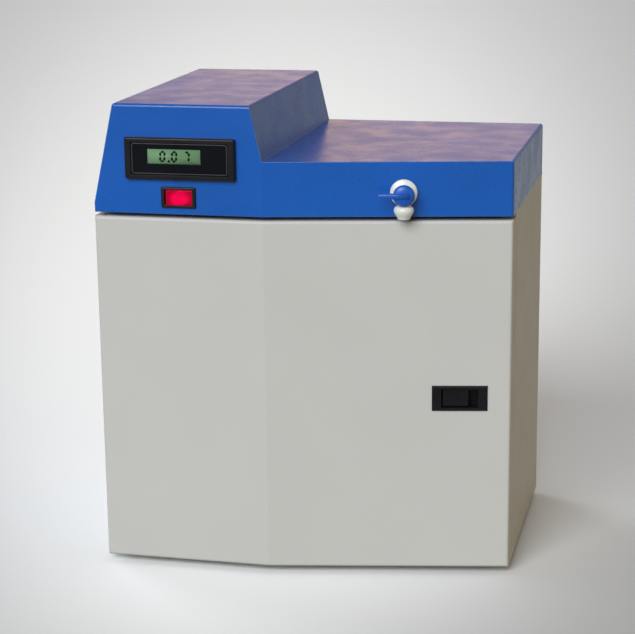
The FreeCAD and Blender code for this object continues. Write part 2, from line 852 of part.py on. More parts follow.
def make_strike_plate():
    body = new_body("strike_plate", 0, 0, cabinet_bottom + size.door_height * 0.5)
    left = size.cabinet_width - size.side_return
    right = size.cabinet_width - wall - size.flat_gap * 4
    near_line, far_line = jamb + wall, jamb + wall + size.strike_thick
    outline = polygon(
        (left, facet_y(left, near_line)),
        (right, facet_y(right, near_line)),
        (right, facet_y(right, far_line)),
        (left, facet_y(left, far_line)),
    )
    pad(body, "XY_Plane", -size.strike_height * 0.5, size.strike_height, outline)


# Head
def head_profile(inset):
    """The raised part's outline seen from the front, drawn in evenly by an inset."""
    inset = as_size(inset)
    low, high = size.head_low_height - inset, size.head_high_height - inset
    lip, slope, crease = size.head_lip, size.head_side_slope, size.crease_from_left
    stretch = root(slope * slope + 1)
    lip_level = lip - inset * (stretch - 1) / slope
    drop = crease + size.head_low_height * slope - inset * stretch
    return polygon(
        (inset, 0),
        (drop - low * slope, 0),
        (drop - low * slope, low),
        (drop - high * slope, high),
        ((high - lip) * slope + inset * stretch, high),
        (inset, lip_level),
    )


def make_head_cover():
    body = new_body("head_cover", 0, 0, head_bottom)
    low, lip = size.head_low_height, size.head_lip
    width, depth, crease = size.cabinet_width, size.cabinet_depth, size.crease_from_left
    pad(body, "XZ_Plane", 0, depth, head_profile(0))
    right_part = polygon(*front_line(crease - lip, width, 0)[1:], (width, depth), (crease, depth))
    pad(body, "XY_Plane", 0, low, right_part)

    def outer_edge(edge):
        point = middle(edge)
        at_bottom = near(point.z, 0)
        shallow_fold = near(point.x, 0) and runs_along(edge, Y_AXIS)
        at_crease = near(point.x, crease) and (runs_along(edge, Y_AXIS) or runs_along(edge, Z_AXIS))
        above_crease = near(point.z, (low + size.head_high_height) * 0.5) and near(point.y, 0)
        on_facet = near(point.y, facet_y(as_size(point.x), as_size(0)))
        facet_top = near(point.z, low) and near(point.x, (crease + width) * 0.5) and on_facet
        return not (at_bottom or shallow_fold or at_crease or above_crease or facet_top)

    document.recompute()
    folds = [middle(edge) for edge in body.Tip.Shape.Edges if outer_edge(edge)]

    def is_fold(edge):
        return any(near(middle(edge).distanceToPoint(place), 0) for place in folds)

    pocket(body, "XZ_Plane", wall, depth - 2 * wall, head_profile(wall))
    room = front_line(crease - lip, width - wall, wall)
    rear = depth - wall
    pocket(body, "XY_Plane", 0, low - wall, polygon(*room, (width - wall, rear), (crease - lip, rear)))
    round_edges(body, size.fold_radius, is_fold)
    meter = centred(size.meter_from_left, size.meter_above_head, meter_cut_width(), meter_cut_height())
    switch = centred(size.switch_from_left, size.switch_above_head, switch_cut_width(), switch_cut_height())
    pocket(body, "XZ_Plane", 0, 2 * wall, meter, switch)
    tap_x = crease + size.tap_from_crease * facet_cos
    hole = circle(tap_x, size.tap_above_head, size.tap_thread_radius + size.flat_gap)
    pocket(body, "XZ_Plane", 0, size.right_setback + 2 * wall, hole)
    screw_hole = size.screw_radius + size.flat_gap
    pocket(body, "XZ_Plane", rear_face, wall, *[circle(x, z, screw_hole) for x, z in head_screw_places()])
    lip_front = front_line(wall, width - wall, wall)
    lip_back = front_line(wall, width - wall, size.head_front_return)
    pad(body, "XY_Plane", 0, wall, polygon(*lip_front, *reversed(lip_back)))


def meter_cut_width():
    return size.meter_body_width + 2 * size.flat_gap


def meter_cut_height():
    return size.meter_body_height + 2 * size.flat_gap


def switch_cut_width():
    return size.switch_body_width + 2 * size.flat_gap


def switch_cut_height():
    return size.switch_body_height + 2 * size.flat_gap


# Meter, about its own centre on the head's square front
def meter_body(label):
    return new_body(label, size.meter_from_left, 0, head_bottom + size.meter_above_head)


def make_meter_bezel():
    body = meter_body("meter_bezel")
    proud, skin = size.meter_proud, size.meter_body_wall
    width, height, depth = size.meter_body_width, size.meter_body_height, size.meter_body_depth
    pad(body, "XZ_Plane", -proud, proud, centred(0, 0, size.meter_width, size.meter_height))

    def outer_edge(edge):
        return runs_along(edge, Y_AXIS) or near(middle(edge).y, -proud)

    round_edges(body, size.meter_corner, outer_edge)
    pad(body, "XZ_Plane", 0, depth, centred(0, 0, width, height))
    pocket(body, "XZ_Plane", 0, depth, centred(0, 0, width - 2 * skin, height - 2 * skin))
    seat = plate_back()
    pocket(body, "XZ_Plane", -proud, proud + seat, plate_outline(size.flat_gap * 0.5))
    window = centred(size.display_shift, size.display_rise, size.display_width, size.display_height)
    pocket(body, "XZ_Plane", -proud, proud + 1, window)


def plate_back():
    """The faceplate's rear, counted inwards from the head's face."""
    return -size.meter_proud + size.meter_plate_sunk + plate_thick()


def plate_thick():
    return size.meter_proud * 0.36


def plate_outline(clear):
    """The faceplate's outline, grown by a clearance."""
    return centred(0, 0, size.meter_plate_width + 2 * clear, size.meter_plate_height + 2 * clear)


def make_meter_faceplate():
    body = meter_body("meter_faceplate")
    front = -size.meter_proud + size.meter_plate_sunk
    pad(body, "XZ_Plane", front, plate_thick(), plate_outline(0))
    window = centred(size.display_shift, size.display_rise, size.display_width, size.display_height)
    pocket(body, "XZ_Plane", front, plate_thick(), window)
    round_edges(body, size.meter_corner, lambda edge: runs_along(edge, Y_AXIS) and edge_is_outer(edge))


def edge_is_outer(edge):
    """True for the faceplate's four corner edges."""
    return near(abs(middle(edge).x), size.meter_plate_width * 0.5)


def make_display_glass():
    body = meter_body("display_glass")
    front = -size.meter_proud + size.meter_plate_sunk + size.flat_gap
    clear = size.flat_gap
    width, height = size.display_width - clear, size.display_height - clear
    glass = centred(size.display_shift, size.display_rise, width, height)
    pad(body, "XZ_Plane", front, 1.1, glass)


def make_display_module():
    body = meter_body("display_module")
    clear = size.flat_gap
    front = -size.meter_proud + size.meter_plate_sunk + 2 * clear + 1.1 - clear
    width, height = size.display_width - clear, size.display_height - clear
    pad(body, "XZ_Plane", front, -front, centred(size.display_shift, size.display_rise, width, height))
    board_width = size.meter_body_width - 2 * size.meter_body_wall - 2 * clear
    board_height = size.meter_body_height - 2 * size.meter_body_wall - 2 * clear
    pad(body, "XZ_Plane", 0, 1.6, centred(0, 0, board_width, board_height))


def make_meter_clamps():
    body = meter_body("meter_clamps")
    thick = size.meter_body_wall * 2
    reach = size.meter_body_width * 0.5 + size.flat_gap
    depth = size.meter_body_depth * 0.6
    strip = size.meter_body_height * 0.4
    for side in (-1, 1):
        inner, outer = side * reach, side * (reach + thick)
        left, right = (inner, outer) if side > 0 else (outer, inner)
        pad(body, "XZ_Plane", wall, depth, rectangle(left, -strip * 0.5, right, strip * 0.5))


# Rocker switch, about its own centre
def switch_body(label):
    return new_body(label, size.switch_from_left, 0, head_bottom + size.switch_above_head)


def make_switch_housing():
    body = switch_body("switch_housing")
    proud = size.switch_proud
    pad(body, "XZ_Plane", -proud, proud, centred(0, 0, size.switch_width, size.switch_height))
    round_edges(body, proud * 0.6, lambda edge: runs_along(edge, Y_AXIS) or near(middle(edge).y, -proud))
    depth = size.switch_body_depth
    pad(body, "XZ_Plane", 0, depth, centred(0, 0, size.switch_body_width, size.switch_body_height))
    well = size.rocker_pivot_depth + size.rocker_reach
    opening = centred(0, 0, size.switch_opening_width, size.switch_opening_height)
    pocket(body, "XZ_Plane", -proud, proud + well, opening)
    pin = size.rocker_pin_radius + size.running_gap
    span = (size.rocker_half_height + size.rocker_pin_length + size.flat_gap) * 2
    pocket(body, "XY_Plane", -span * 0.5, span, circle(0, size.rocker_pivot_depth, pin))


def make_switch_blades():
    body = switch_body("switch_blades")
    depth = size.switch_body_depth
    blades = [centred(size.switch_body_width * part, 0, 0.8, 4.8) for part in (-0.3, 0, 0.3)]
    pad(body, "XZ_Plane", depth, depth * 0.4, *blades)


def make_rocker():
    pivot = size.rocker_pivot_depth
    body = new_body("rocker", size.switch_from_left, pivot, head_bottom + size.switch_above_head)
    body.Placement = FreeCAD.Placement(FreeCAD.Vector(), FreeCAD.Rotation(Z_AXIS, 1))
    body.setExpression("Placement.Rotation.Angle", size.rocker_tilt.text)
    half, reach = size.rocker_half_width, size.rocker_reach
    hollow = size.rocker_hollow
    height = size.rocker_half_height
    outline = polygon(
        (-half, -reach),
        (0, hollow - reach),
        (half, -reach),
        (half * 1.05, -reach * 0.55),
        (half * 0.95, 0),
        (half * 0.3, reach * 0.4),
        (-half * 0.3, reach * 0.4),
        (-half * 0.95, 0),
        (-half * 1.05, -reach * 0.55),
    )
    pad(body, "XY_Plane", -height, height * 2, outline)
    pin_half = height + size.rocker_pin_length
    pad(body, "XY_Plane", -pin_half, pin_half * 2, circle(0, 0, size.rocker_pin_radius))
    round_edges(
        body,
        0.8,
        lambda edge: near(abs(middle(edge).z), height) and middle(edge).y < -(reach - hollow).value + 0.01,
    )


# Tap, about its own centre on the facet
def tap_body(label, back=0):
    return new_body(label, size.tap_from_crease, back, head_bottom + size.tap_above_head, on_facet=True)


def make_tap_spout():
    body = tap_body("tap_spout")
    washer = size.tap_washer_thick
    flange_front = -(size.tap_flange_thick + washer)
    front = -(size.tap_disc_front - size.tap_disc_thick - size.flat_gap)
    turn(
        body,
        "Y",
        [
            (0, size.tap_thread_length),
            (size.tap_thread_radius, size.tap_thread_length),
            (size.tap_thread_radius, -washer),
            (size.tap_flange_radius, -washer),
            (size.tap_flange_radius, flange_front + 1),
            (size.tap_flange_radius - 1, flange_front),
            (size.tap_barrel_radius, flange_front),
            (size.tap_barrel_radius, front),
            (0, front),
        ],
    )
    spout = add_sketch(body, "XZ_Plane", -size.tap_reach, [polygon(*spout_outline())])
    feature = body.newObject("PartDesign::Revolution", "tap_spout_drop")
    feature.Profile = spout
    feature.ReferenceAxis = (spout, ["V_Axis"])
    feature.Angle = 360
    bore, length = size.tap_bore_radius, size.tap_thread_length
    pocket(body, "XY_Plane", -size.tap_drop, size.tap_drop, circle(0, -size.tap_reach, bore))
    pocket(body, "XZ_Plane", -size.tap_reach, size.tap_reach + length, circle(0, 0, bore))
    pocket(body, "XZ_Plane", length - size.tube_seat, size.tube_seat, circle(0, 0, seat_radius()))
    stem_hole = circle(0, 0, size.tap_stem_radius + size.running_gap)
    pocket(body, "XZ_Plane", front, size.tap_stem_length, stem_hole)


def spout_outline():
    """The hanging spout's outline: (radius, height from the tap's centre)."""
    drop, bulb = size.tap_drop, size.tap_bulb_drop
    return [
        (0, 0),
        (size.tap_neck_radius, 0),
        (size.tap_neck_radius, -size.tap_disc_radius),
        (size.tap_bulb_radius, -(bulb - 3)),
        (size.tap_bulb_radius, -bulb),
        (size.tap_nozzle_radius + 0.8, -(drop - 3)),
        (size.tap_nozzle_radius, -drop),
        (0, -drop),
    ]


def make_tap_washer():
    body = tap_body("tap_washer")
    hole = circle(0, 0, size.tap_thread_radius + size.flat_gap * 0.5)
    edge = circle(0, 0, size.tap_flange_radius - size.tap_washer_thick)
    pad(body, "XZ_Plane", -size.tap_washer_thick, size.tap_washer_thick, edge, hole)


def make_tap_nut():
    body = tap_body("tap_nut")
    radius = size.tap_nut_radius
    corners = [
        (radius * math.cos(math.radians(60 * i)), radius * math.sin(math.radians(60 * i))) for i in range(6)
    ]
    hole = size.tap_thread_radius + size.flat_gap * 0.3
    pad(body, "XZ_Plane", wall, size.tap_nut_thick, polygon(*corners), circle(0, 0, hole))


def make_tap_lever():
    body = tap_body("tap_lever")
    front, thick = size.tap_disc_front, size.tap_disc_thick
    pad(body, "XZ_Plane", -front, thick, circle(0, 0, size.tap_disc_radius))
    pad(body, "XZ_Plane", thick - front, size.tap_stem_length, circle(0, 0, size.tap_stem_radius))
    half = size.tap_lever_width * 0.5
    length = size.tap_lever_length
    lever = polygon(
        (size.tap_disc_radius * 0.75, -half),
        (size.tap_disc_radius * 0.75, half),
        (1 - length, half * 0.85),
        (-length, half * 0.4),
        (-length, -half * 0.4),
        (1 - length, -half * 0.85),
    )
    proud = size.tap_lever_proud
    pad(body, "XZ_Plane", -front - proud, proud + thick * 0.8, lever)
    round_edges(body, 0.8, lambda edge: near(middle(edge).y, -front - proud))


# Water path
def column_x(number):
    """The x of a filter column, counted from the right."""
    return size.cabinet_width - size.cartridge_from_right - size.cartridge_pitch * number


def column_back():
    """How far behind the front the filter columns stand."""
    return size.cabinet_depth - size.cartridge_from_rear


def plate_front():
    """The mounting plate's front face."""
    return column_back() + size.cartridge_radius + size.plate_gap + size.clip_thick


def tube_rise():
    """The height from a level run of tube to the port that it bends up or down into."""
    return size.tube_bend + size.tube_straight


def run_below():
    """The level of the tubes below the filters, midway in the room that the pump and the deck leave."""
    pump_top = wall + pump_level() + size.pump_head_size * 0.5
    taken = pump_top + (size.tube_radius + tube_rise()) * 2 + size.cartridge_length
    return pump_top + size.tube_radius + (deck_under - taken) * 0.5


def filter_bottom():
    """The level of the filters' lower ports."""
    return run_below() + tube_rise()


def seat_radius():
    """The bore that holds a tube's end."""
    return size.tube_radius + 2 * size.running_gap


def cartridge_outline():
    """A filter cartridge's outline: (radius, height above its lower port)."""
    radius, cap, neck = size.cartridge_radius, size.cartridge_cap_radius, size.port_radius
    port, end = size.port_length, size.cartridge_cap_height
    top = size.cartridge_length
    return [
        (0, 0),
        (neck, 0),
        (neck, port),
        (cap - 3, port),
        (cap, port + 3),
        (cap, port + end),
        (radius, port + end),
        (radius, top - port - end),
        (cap, top - port - end),
        (cap, top - port - 3),
        (cap - 3, top - port),
        (neck, top - port),
        (neck, top),
        (0, top),
    ]


def drill_ports(body):
    """Opens a tube seat in both ends of a cartridge."""
    seat = circle(0, 0, seat_radius())
    pocket(body, "XY_Plane", 0, size.tube_seat, seat)
    pocket(body, "XY_Plane", size.cartridge_length - size.tube_seat, size.tube_seat, seat)


def cartridge_body(label, number):
    return new_body(label, column_x(number), column_back(), cabinet_bottom + filter_bottom())


def make_cartridge(label, number):
    body = cartridge_body(label, number)
    turn(body, "Z", cartridge_outline())
    drill_ports(body)
    return body


def reject_level():
    """The height of the membrane's waste port above its lower port."""
    return size.port_length + size.cartridge_cap_height * 0.5


def make_membrane():
    body = make_cartridge("membrane_housing", 2)
    tip = -size.cartridge_cap_radius - size.port_length
    pad(body, "XZ_Plane", tip, size.port_length * 1.5, circle(0, reject_level(), size.port_radius * 0.8))
    pocket(body, "XZ_Plane", tip, size.tube_seat, circle(0, reject_level(), seat_radius()))


def make_deioniser():
    body = cartridge_body("deioniser_shell", 3)
    turn(body, "Z", cartridge_outline())
    drill_ports(body)
    low, high = resin_levels()
    room = size.cartridge_radius - size.resin_inset
    turn(body, "Z", [(0, low), (room, low), (room, high), (0, high)], "PartDesign::Groove")
    resin = cartridge_body("resin_bed", 3)
    room = room - size.flat_gap
    low, high = low + size.flat_gap, high - size.flat_gap
    turn(resin, "Z", [(0, low), (room, low), (room, high), (0, high)])


def resin_levels():
    """The resin room's floor and roof above the lower port."""
    low = size.port_length + size.resin_inset + size.tube_seat * 0.25
    return low, size.cartridge_length - low


def make_cartridge_plate():
    body = new_body("cartridge_plate", 0, plate_front(), cabinet_bottom + wall)
    left, right = size.plate_left, size.cabinet_width - size.plate_from_right
    height = deck_under - size.deck_flange - size.plate_top_gap - wall
    pad(body, "XZ_Plane", 0, wall, rectangle(left, 0, right, height))
    pad(body, "XY_Plane", 0, wall, rectangle(left, 0, right, size.side_return))
    pad(body, "YZ_Plane", left, wall, rectangle(0, 0, size.side_return, height))
    pad(body, "YZ_Plane", right - wall, wall, rectangle(0, 0, size.side_return, height))
    hole = size.union_hole + size.flat_gap
    pocket(body, "XZ_Plane", 0, wall, *[circle(x, z - wall, hole) for x, z in union_places()])


def make_cartridge_clips():
    body = new_body("cartridge_clips", 0, column_back(), cabinet_bottom + filter_bottom())
    inner = size.cartridge_radius + size.flat_gap
    outer = inner + size.clip_thick
    base, foot = plate_front() - column_back(), size.clip_foot * 0.5
    columns = [column_x(number) for number in range(4)]
    high, from_end = size.clip_height, size.port_length + size.cartridge_cap_height + size.clip_gap
    for low in (from_end, size.cartridge_length - from_end - high):
        pad(body, "XY_Plane", low, high, *[circle(x, 0, outer) for x in columns])
        pad(body, "XY_Plane", low, high, *[rectangle(x - foot, inner, x + foot, base) for x in columns])
        pocket(body, "XY_Plane", low, high, *[circle(x, 0, inner) for x in columns])
        gap = inner * 0.8
        mouths = [rectangle(x - gap, -outer * 1.1, x + gap, -inner * 0.3) for x in columns]
        pocket(body, "XY_Plane", low, high, *mouths)


def make_solenoid_valve():
    body = new_body("valve_body", column_x(0), column_back(), cabinet_bottom + size.inlet_above)
    half = size.valve_size * 0.5
    port, seat = size.port_radius, seat_radius()
    top = size.valve_height * 0.5
    pad(body, "XY_Plane", -half, size.valve_size, centred(0, 0, size.valve_size, size.valve_size))
    pad(body, "XY_Plane", half, top, circle(0, 0, port))
    pad(body, "XZ_Plane", half, size.port_length, circle(0, 0, port))
    pocket(body, "XY_Plane", half + top - size.tube_seat, size.tube_seat, circle(0, 0, seat))
    pocket(body, "XZ_Plane", half + size.port_length - size.tube_seat, size.tube_seat, circle(0, 0, seat))
    coil = new_body("valve_coil", column_x(0), column_back(), cabinet_bottom + size.inlet_above)
    start = -half - size.coil_length
    pad(coil, "XZ_Plane", start, size.coil_length, centred(0, 0, size.coil_size, size.coil_size))
    round_edges(coil, 3, lambda edge: runs_along(edge, Y_AXIS))


def make_valve_bracket():
    body = new_body("valve_bracket", column_x(0), column_back(), cabinet_bottom + wall)
    half, thick = size.valve_size * 0.5, size.pump_shelf_thick
    top = size.inlet_above - half - wall
    side = polygon(
        (-half, 0),
        (half, 0),
        (half, thick),
        (thick - half, thick),
        (thick - half, top - thick),
        (half, top - thick),
        (half, top),
        (-half, top),
    )
    pad(body, "YZ_Plane", -half, half * 2, side)


def make_pump():
    floor = cabinet_bottom + wall
    axis_height = pump_level()
    left, back = pump_left(), column_back()
    head = new_body("pump_head", left, back, floor + axis_height)
    big = size.pump_head_size
    pad(head, "YZ_Plane", 0, size.pump_head_length, centred(0, 0, big, big))
    round_edges(head, 6, lambda edge: runs_along(edge, X_AXIS))
    port, seat, reach = size.port_length, size.tube_seat, big * 0.5 + size.port_length
    pad(head, "XY_Plane", big * 0.5, port, circle(column_x(1) - left, 0, size.port_radius))
    pocket(head, "XY_Plane", reach - seat, seat, circle(column_x(1) - left, 0, seat_radius()))
    pad(head, "XZ_Plane", -reach, port, circle(outlet_x() - left, 0, size.port_radius))
    pocket(head, "XZ_Plane", -reach, seat, circle(outlet_x() - left, 0, seat_radius()))
    motor = new_body("pump_motor", left, back, floor + axis_height)
    radius, length = size.pump_motor_radius, size.pump_motor_length
    turn(
        motor,
        "X",
        [
            (0, -length - 4),
            (radius * 0.35, -length - 4),
            (radius * 0.35, -length),
            (radius - 2, -length),
            (radius, 2 - length),
            (radius, 0),
            (0, 0),
        ],
    )
    shelf = new_body("pump_shelf", left, back, floor + size.pump_shelf)
    reach = size.pump_head_size * 0.5
    pad(shelf, "XY_Plane", 0, size.pump_shelf_thick, rectangle(-length, -reach, size.pump_head_length, reach))
    bushes = new_body("pump_bushes", left, back, floor)
    inset = size.pump_bush_radius
    places = [
        (x, y)
        for x in (inset - length, size.pump_head_length - inset)
        for y in (inset - reach, reach - inset)
    ]
    pad(bushes, "XY_Plane", 0, size.pump_shelf, *[circle(x, y, size.pump_bush_radius) for x, y in places])


def pump_level():
    """The pump axis above the floor."""
    return size.pump_shelf + size.pump_shelf_thick + size.pump_motor_radius


def pump_left():
    """Where the pump head meets its motor."""
    return column_x(1) + size.pump_head_size * 0.25 - size.pump_head_length


def outlet_x():
    """The pump's outlet port, along the width."""
    return pump_left() + size.pump_head_length * 0.25


def make_power_supply():
    length, width, height = size.supply_length, size.supply_width, size.supply_height
    front = column_back() - size.pump_motor_radius - size.supply_gap - width
    body = new_body("power_supply", size.supply_left, front, cabinet_bottom + wall)
    pad(body, "XY_Plane", 0, height, rectangle(0, 0, length, width))
    round_edges(body, 2, lambda edge: runs_along(edge, Z_AXIS) or near(middle(edge).z, height))
    pitch, count = length / 16, 9
    starts = [length * 0.2 + pitch * number for number in range(count)]
    slots = [rectangle(x, width * 0.25, x + pitch * 0.4, width * 0.75) for x in starts]
    pocket(body, "XY_Plane", height - 1.5, 1.5, *slots)


def make_conductivity_cell():
    x, y = riser_place()
    body = new_body("conductivity_cell", x, y, cabinet_bottom + cell_level())
    half = size.port_radius + 2
    pad(body, "XY_Plane", 0, size.valve_height, centred(0, 0, 2 * half, 2 * half))
    side_port = circle(0, size.valve_height * 0.5, size.port_radius)
    pad(body, "XZ_Plane", -half - size.port_length, size.port_length, side_port)
    low = size.valve_height * 0.3
    post = rectangle(-half * 0.6, low, half * 0.6, size.valve_height - low)
    pad(body, "XZ_Plane", half, plate_front() - y - half, post)
    seat = circle(0, 0, seat_radius())
    pocket(body, "XY_Plane", 0, size.tube_seat, seat)
    pocket(body, "XY_Plane", size.valve_height - size.tube_seat, size.tube_seat, seat)


def cell_level():
    """The conductivity cell's lower end above the cabinet's lower edge."""
    return filter_bottom() + size.cartridge_length * 0.4


def riser_place():
    """Where the product tube rises to the head, in plan."""
    return size.plate_left + size.side_return, column_back()


def grommet_radius():
    """The grommet hole's radius in the deck."""
    return size.tube_radius + 3


def make_deck_grommet():
    x, y = riser_place()
    body = new_body("deck_grommet", x, y, head_bottom - wall)
    hole = seat_radius()
    edge = grommet_radius()
    turn(
        body,
        "Z",
        [
            (hole, -2),
            (edge + 2, -2),
            (edge + 2, 0),
            (edge, 0),
            (edge, wall),
            (edge + 2, wall),
            (edge + 2, wall + 2),
            (hole, wall + 2),
        ],
    )


# Tubes
def make_tube(label, points, bend):
    """A hose through the points, with an arc at each inner point. Its sizes are read from the sheet."""
    document.recompute()
    places = [FreeCAD.Vector(*(as_size(c).value for c in point)) for point in points]
    shift = FreeCAD.Vector(middle_x.value, middle_y.value, -cabinet_bottom.value)
    places = [place - shift for place in places]
    edges = []
    start = places[0]
    for before, corner, after in zip(places, places[1:], places[2:]):
        inward = (before - corner).normalize()
        outward = (after - corner).normalize()
        half_turn = (math.pi - inward.getAngle(outward)) * 0.5
        trim = bend.value * math.tan(half_turn)
        first, last = corner + inward * trim, corner + outward * trim
        centre_way = (inward + outward).normalize()
        bulge = corner + centre_way * (bend.value / math.cos(half_turn) - bend.value)
        edges.append(Part.LineSegment(start, first).toShape())
        edges.append(Part.Arc(first, bulge, last).toShape())
        start = last
    edges.append(Part.LineSegment(start, places[-1]).toShape())
    path = Part.Wire(edges)
    way = (places[1] - places[0]).normalize()

    def sweep(radius):
        ring = Part.Wire([Part.Circle(places[0], way, radius.value).toShape()])
        return path.makePipeShell([ring], True, False)

    hose = document.addObject("Part::Feature", label)
    hose.Label = label
    hose.Shape = sweep(size.tube_radius).cut(sweep(size.tube_bore))
    return hose


def make_tubes():
    back, bend, rise = column_back(), size.tube_bend, tube_rise()
    bottom, top = filter_bottom(), filter_bottom() + size.cartridge_length
    under, over = run_below(), top + rise
    seat = size.tube_seat - size.flat_gap
    first, second, third, fourth = [column_x(number) for number in range(4)]
    (_, inlet), (drain_x, drain) = union_places()
    valve_top = inlet + size.valve_size * 0.5 + size.valve_height * 0.5
    valve_back = back + size.valve_size * 0.5 + size.port_length
    make_tube("tube_inlet", [(first, valve_back - seat, inlet), (first, union_inner() + seat, inlet)], bend)
    make_tube("tube_valve_to_sediment", [(first, back, valve_top - seat), (first, back, bottom + seat)], bend)
    for label, start, end in (
        ("tube_sediment_to_carbon", first, second),
        ("tube_membrane_to_deioniser", third, fourth),
    ):
        loop = [(start, back, top - seat), (start, back, over), (end, back, over), (end, back, top - seat)]
        make_tube(label, loop, bend)
    pump_axis = wall + pump_level()
    pump_reach = size.pump_head_size * 0.5 + size.port_length
    pump_inlet = pump_axis + pump_reach - seat
    make_tube("tube_carbon_to_pump", [(second, back, bottom + seat), (second, back, pump_inlet)], bend)
    outlet, ahead = outlet_x(), back - pump_reach - rise
    make_tube(
        "tube_pump_to_membrane",
        [
            (outlet, back - pump_reach + seat, pump_axis),
            (outlet, ahead, pump_axis),
            (outlet, ahead, under),
            (third, ahead, under),
            (third, back, under),
            (third, back, bottom + seat),
        ],
        bend,
    )
    riser, _ = riser_place()
    make_tube(
        "tube_deioniser_to_cell",
        [
            (fourth, back, bottom + seat),
            (fourth, back, under),
            (riser, back, under),
            (riser, back, cell_level() + seat),
        ],
        bend,
    )
    waste = bottom + reject_level()
    front = back - size.cartridge_cap_radius - size.port_length
    make_tube(
        "tube_drain",
        [
            (third, front + seat, waste),
            (third, front - rise, waste),
            (drain_x, front - rise, waste),
            (drain_x, front - rise, drain),
            (drain_x, union_inner() + seat, drain),
        ],
        bend,
    )
    level = head_bottom_local + size.tap_above_head
    shank_end, turn_place = size.tap_thread_length - seat, size.tap_thread_length + 3 * bend
    make_tube(
        "tube_product",
        [
            (riser, back, cell_level() + size.valve_height - seat),
            (riser, back, level),
            (*facet_place(size.tap_from_crease, turn_place), level),
            (*facet_place(size.tap_from_crease, shank_end), level),
        ],
        bend,
    )


def facet_place(along, back):
    """A facet place as cabinet x and y."""
    along, back = as_size(along), as_size(back)
    x = size.crease_from_left + along * facet_cos - back * facet_sin
    return x, along * facet_sin + back * facet_cos


def union_inner():
    """The inner end of a back union."""
    return rear_inner - size.port_length


def make_back_fittings():
    for label, (x, z) in zip(("inlet_union", "drain_union"), union_places()):
        body = new_body(label, x, size.cabinet_depth, cabinet_bottom + z)
        inner, outer = union_inner() - size.cabinet_depth, size.union_reach
        collar, hole = size.union_radius, size.union_hole
        turn(
            body,
            "Y",
            [
                (size.tube_bore, inner),
                (hole, inner),
                (hole, -wall),
                (collar, -wall),
                (collar, size.union_collar - wall),
                (hole, size.union_collar - wall),
                (hole, outer - size.union_chamfer),
                (hole - size.union_chamfer, outer),
                (size.tube_bore, outer),
            ],
        )
        pocket(body, "XZ_Plane", inner, size.tube_seat, circle(0, 0, seat_radius()))
        pocket(body, "XZ_Plane", outer - size.union_seat, size.union_seat, circle(0, 0, seat_radius()))


def make_mains_inlet():
    body = new_body("mains_inlet", size.mains_from_left, rear_face, cabinet_bottom + size.mains_above)
    width, height = size.mains_width, size.mains_height
    clear = 2 * size.flat_gap
    pad(body, "XZ_Plane", 0, 3, centred(0, 0, width + 4, height + 4))
    pad(body, "XZ_Plane", -22, 22, centred(0, 0, width - clear, height - clear))
    well = polygon(
        (-width * 0.42, -height * 0.36),
        (width * 0.42, -height * 0.36),
        (width * 0.42, height * 0.2),
        (width * 0.3, height * 0.38),
        (-width * 0.3, height * 0.38),
        (-width * 0.42, height * 0.2),
    )
    pocket(body, "XZ_Plane", -14, 17, well)
    blades = [centred(x, z, 2, 4) for x, z in ((-7, -1.5), (7, -1.5), (0, 2))]
    pad(body, "XZ_Plane", -14, 12, *blades)


BUILDERS = [
    make_feet,
    make_base_pan,
    make_left_side,
    make_right_side,
    make_rear_panel,
    make_top_deck,
    make_panel_screws,
    make_front_door,
    make_door_bushes,
    make_pivot_brackets,
    make_pivot_pins,
    make_bracket_screws,
    make_latch_frame,
    make_latch_paddle,
    make_latch_bolt,
    make_strike_plate,
    make_head_cover,
    make_meter_bezel,
    make_meter_faceplate,
    make_display_glass,
    make_display_module,
    make_meter_clamps,
    make_switch_housing,
    make_switch_blades,
    make_rocker,
    make_tap_spout,
    make_tap_washer,
    make_tap_nut,
    make_tap_lever,
    make_deioniser,
    make_cartridge_plate,
    make_cartridge_clips,
    make_membrane,
    make_solenoid_valve,
    make_valve_bracket,
    make_pump,
    make_power_supply,
    make_conductivity_cell,
    make_deck_grommet,
    make_tubes,
    make_back_fittings,
    make_mains_inlet,
]

for build in BUILDERS:
    build()
for label, number in (("sediment_cartridge", 0), ("carbon_cartridge", 1)):
    make_cartridge(label, number)
document.recompute()


# Every object has to be sound before anything is written
faults = [item.Name for item in document.Objects if {"Invalid", "Error"} & set(item.State)]
subparts = [
    item for item in document.Objects if item.TypeId == "PartDesign::Body" or item.TypeId == "Part::Feature"
]
for item in subparts:
    if item.Shape.isNull() or not item.Shape.isValid() or not item.Shape.Solids:
        faults.append(item.Label)
for item in document.Objects:
    if item.TypeId in ("PartDesign::Pocket", "PartDesign::Groove"):
        if item.Shape.Volume > item.BaseFeature.Shape.Volume - 1e-6:
            faults.append(f"{item.Name} cuts nothing")
if faults:
    raise RuntimeError(f"not sound: {faults}")

os.makedirs("parts", exist_ok=True)
for item in subparts:
    item.Shape.exportStep(os.path.join("parts", f"{item.Label}.step"))
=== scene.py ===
import json
import math

import bmesh
import bpy
from mathutils import Matrix, Vector


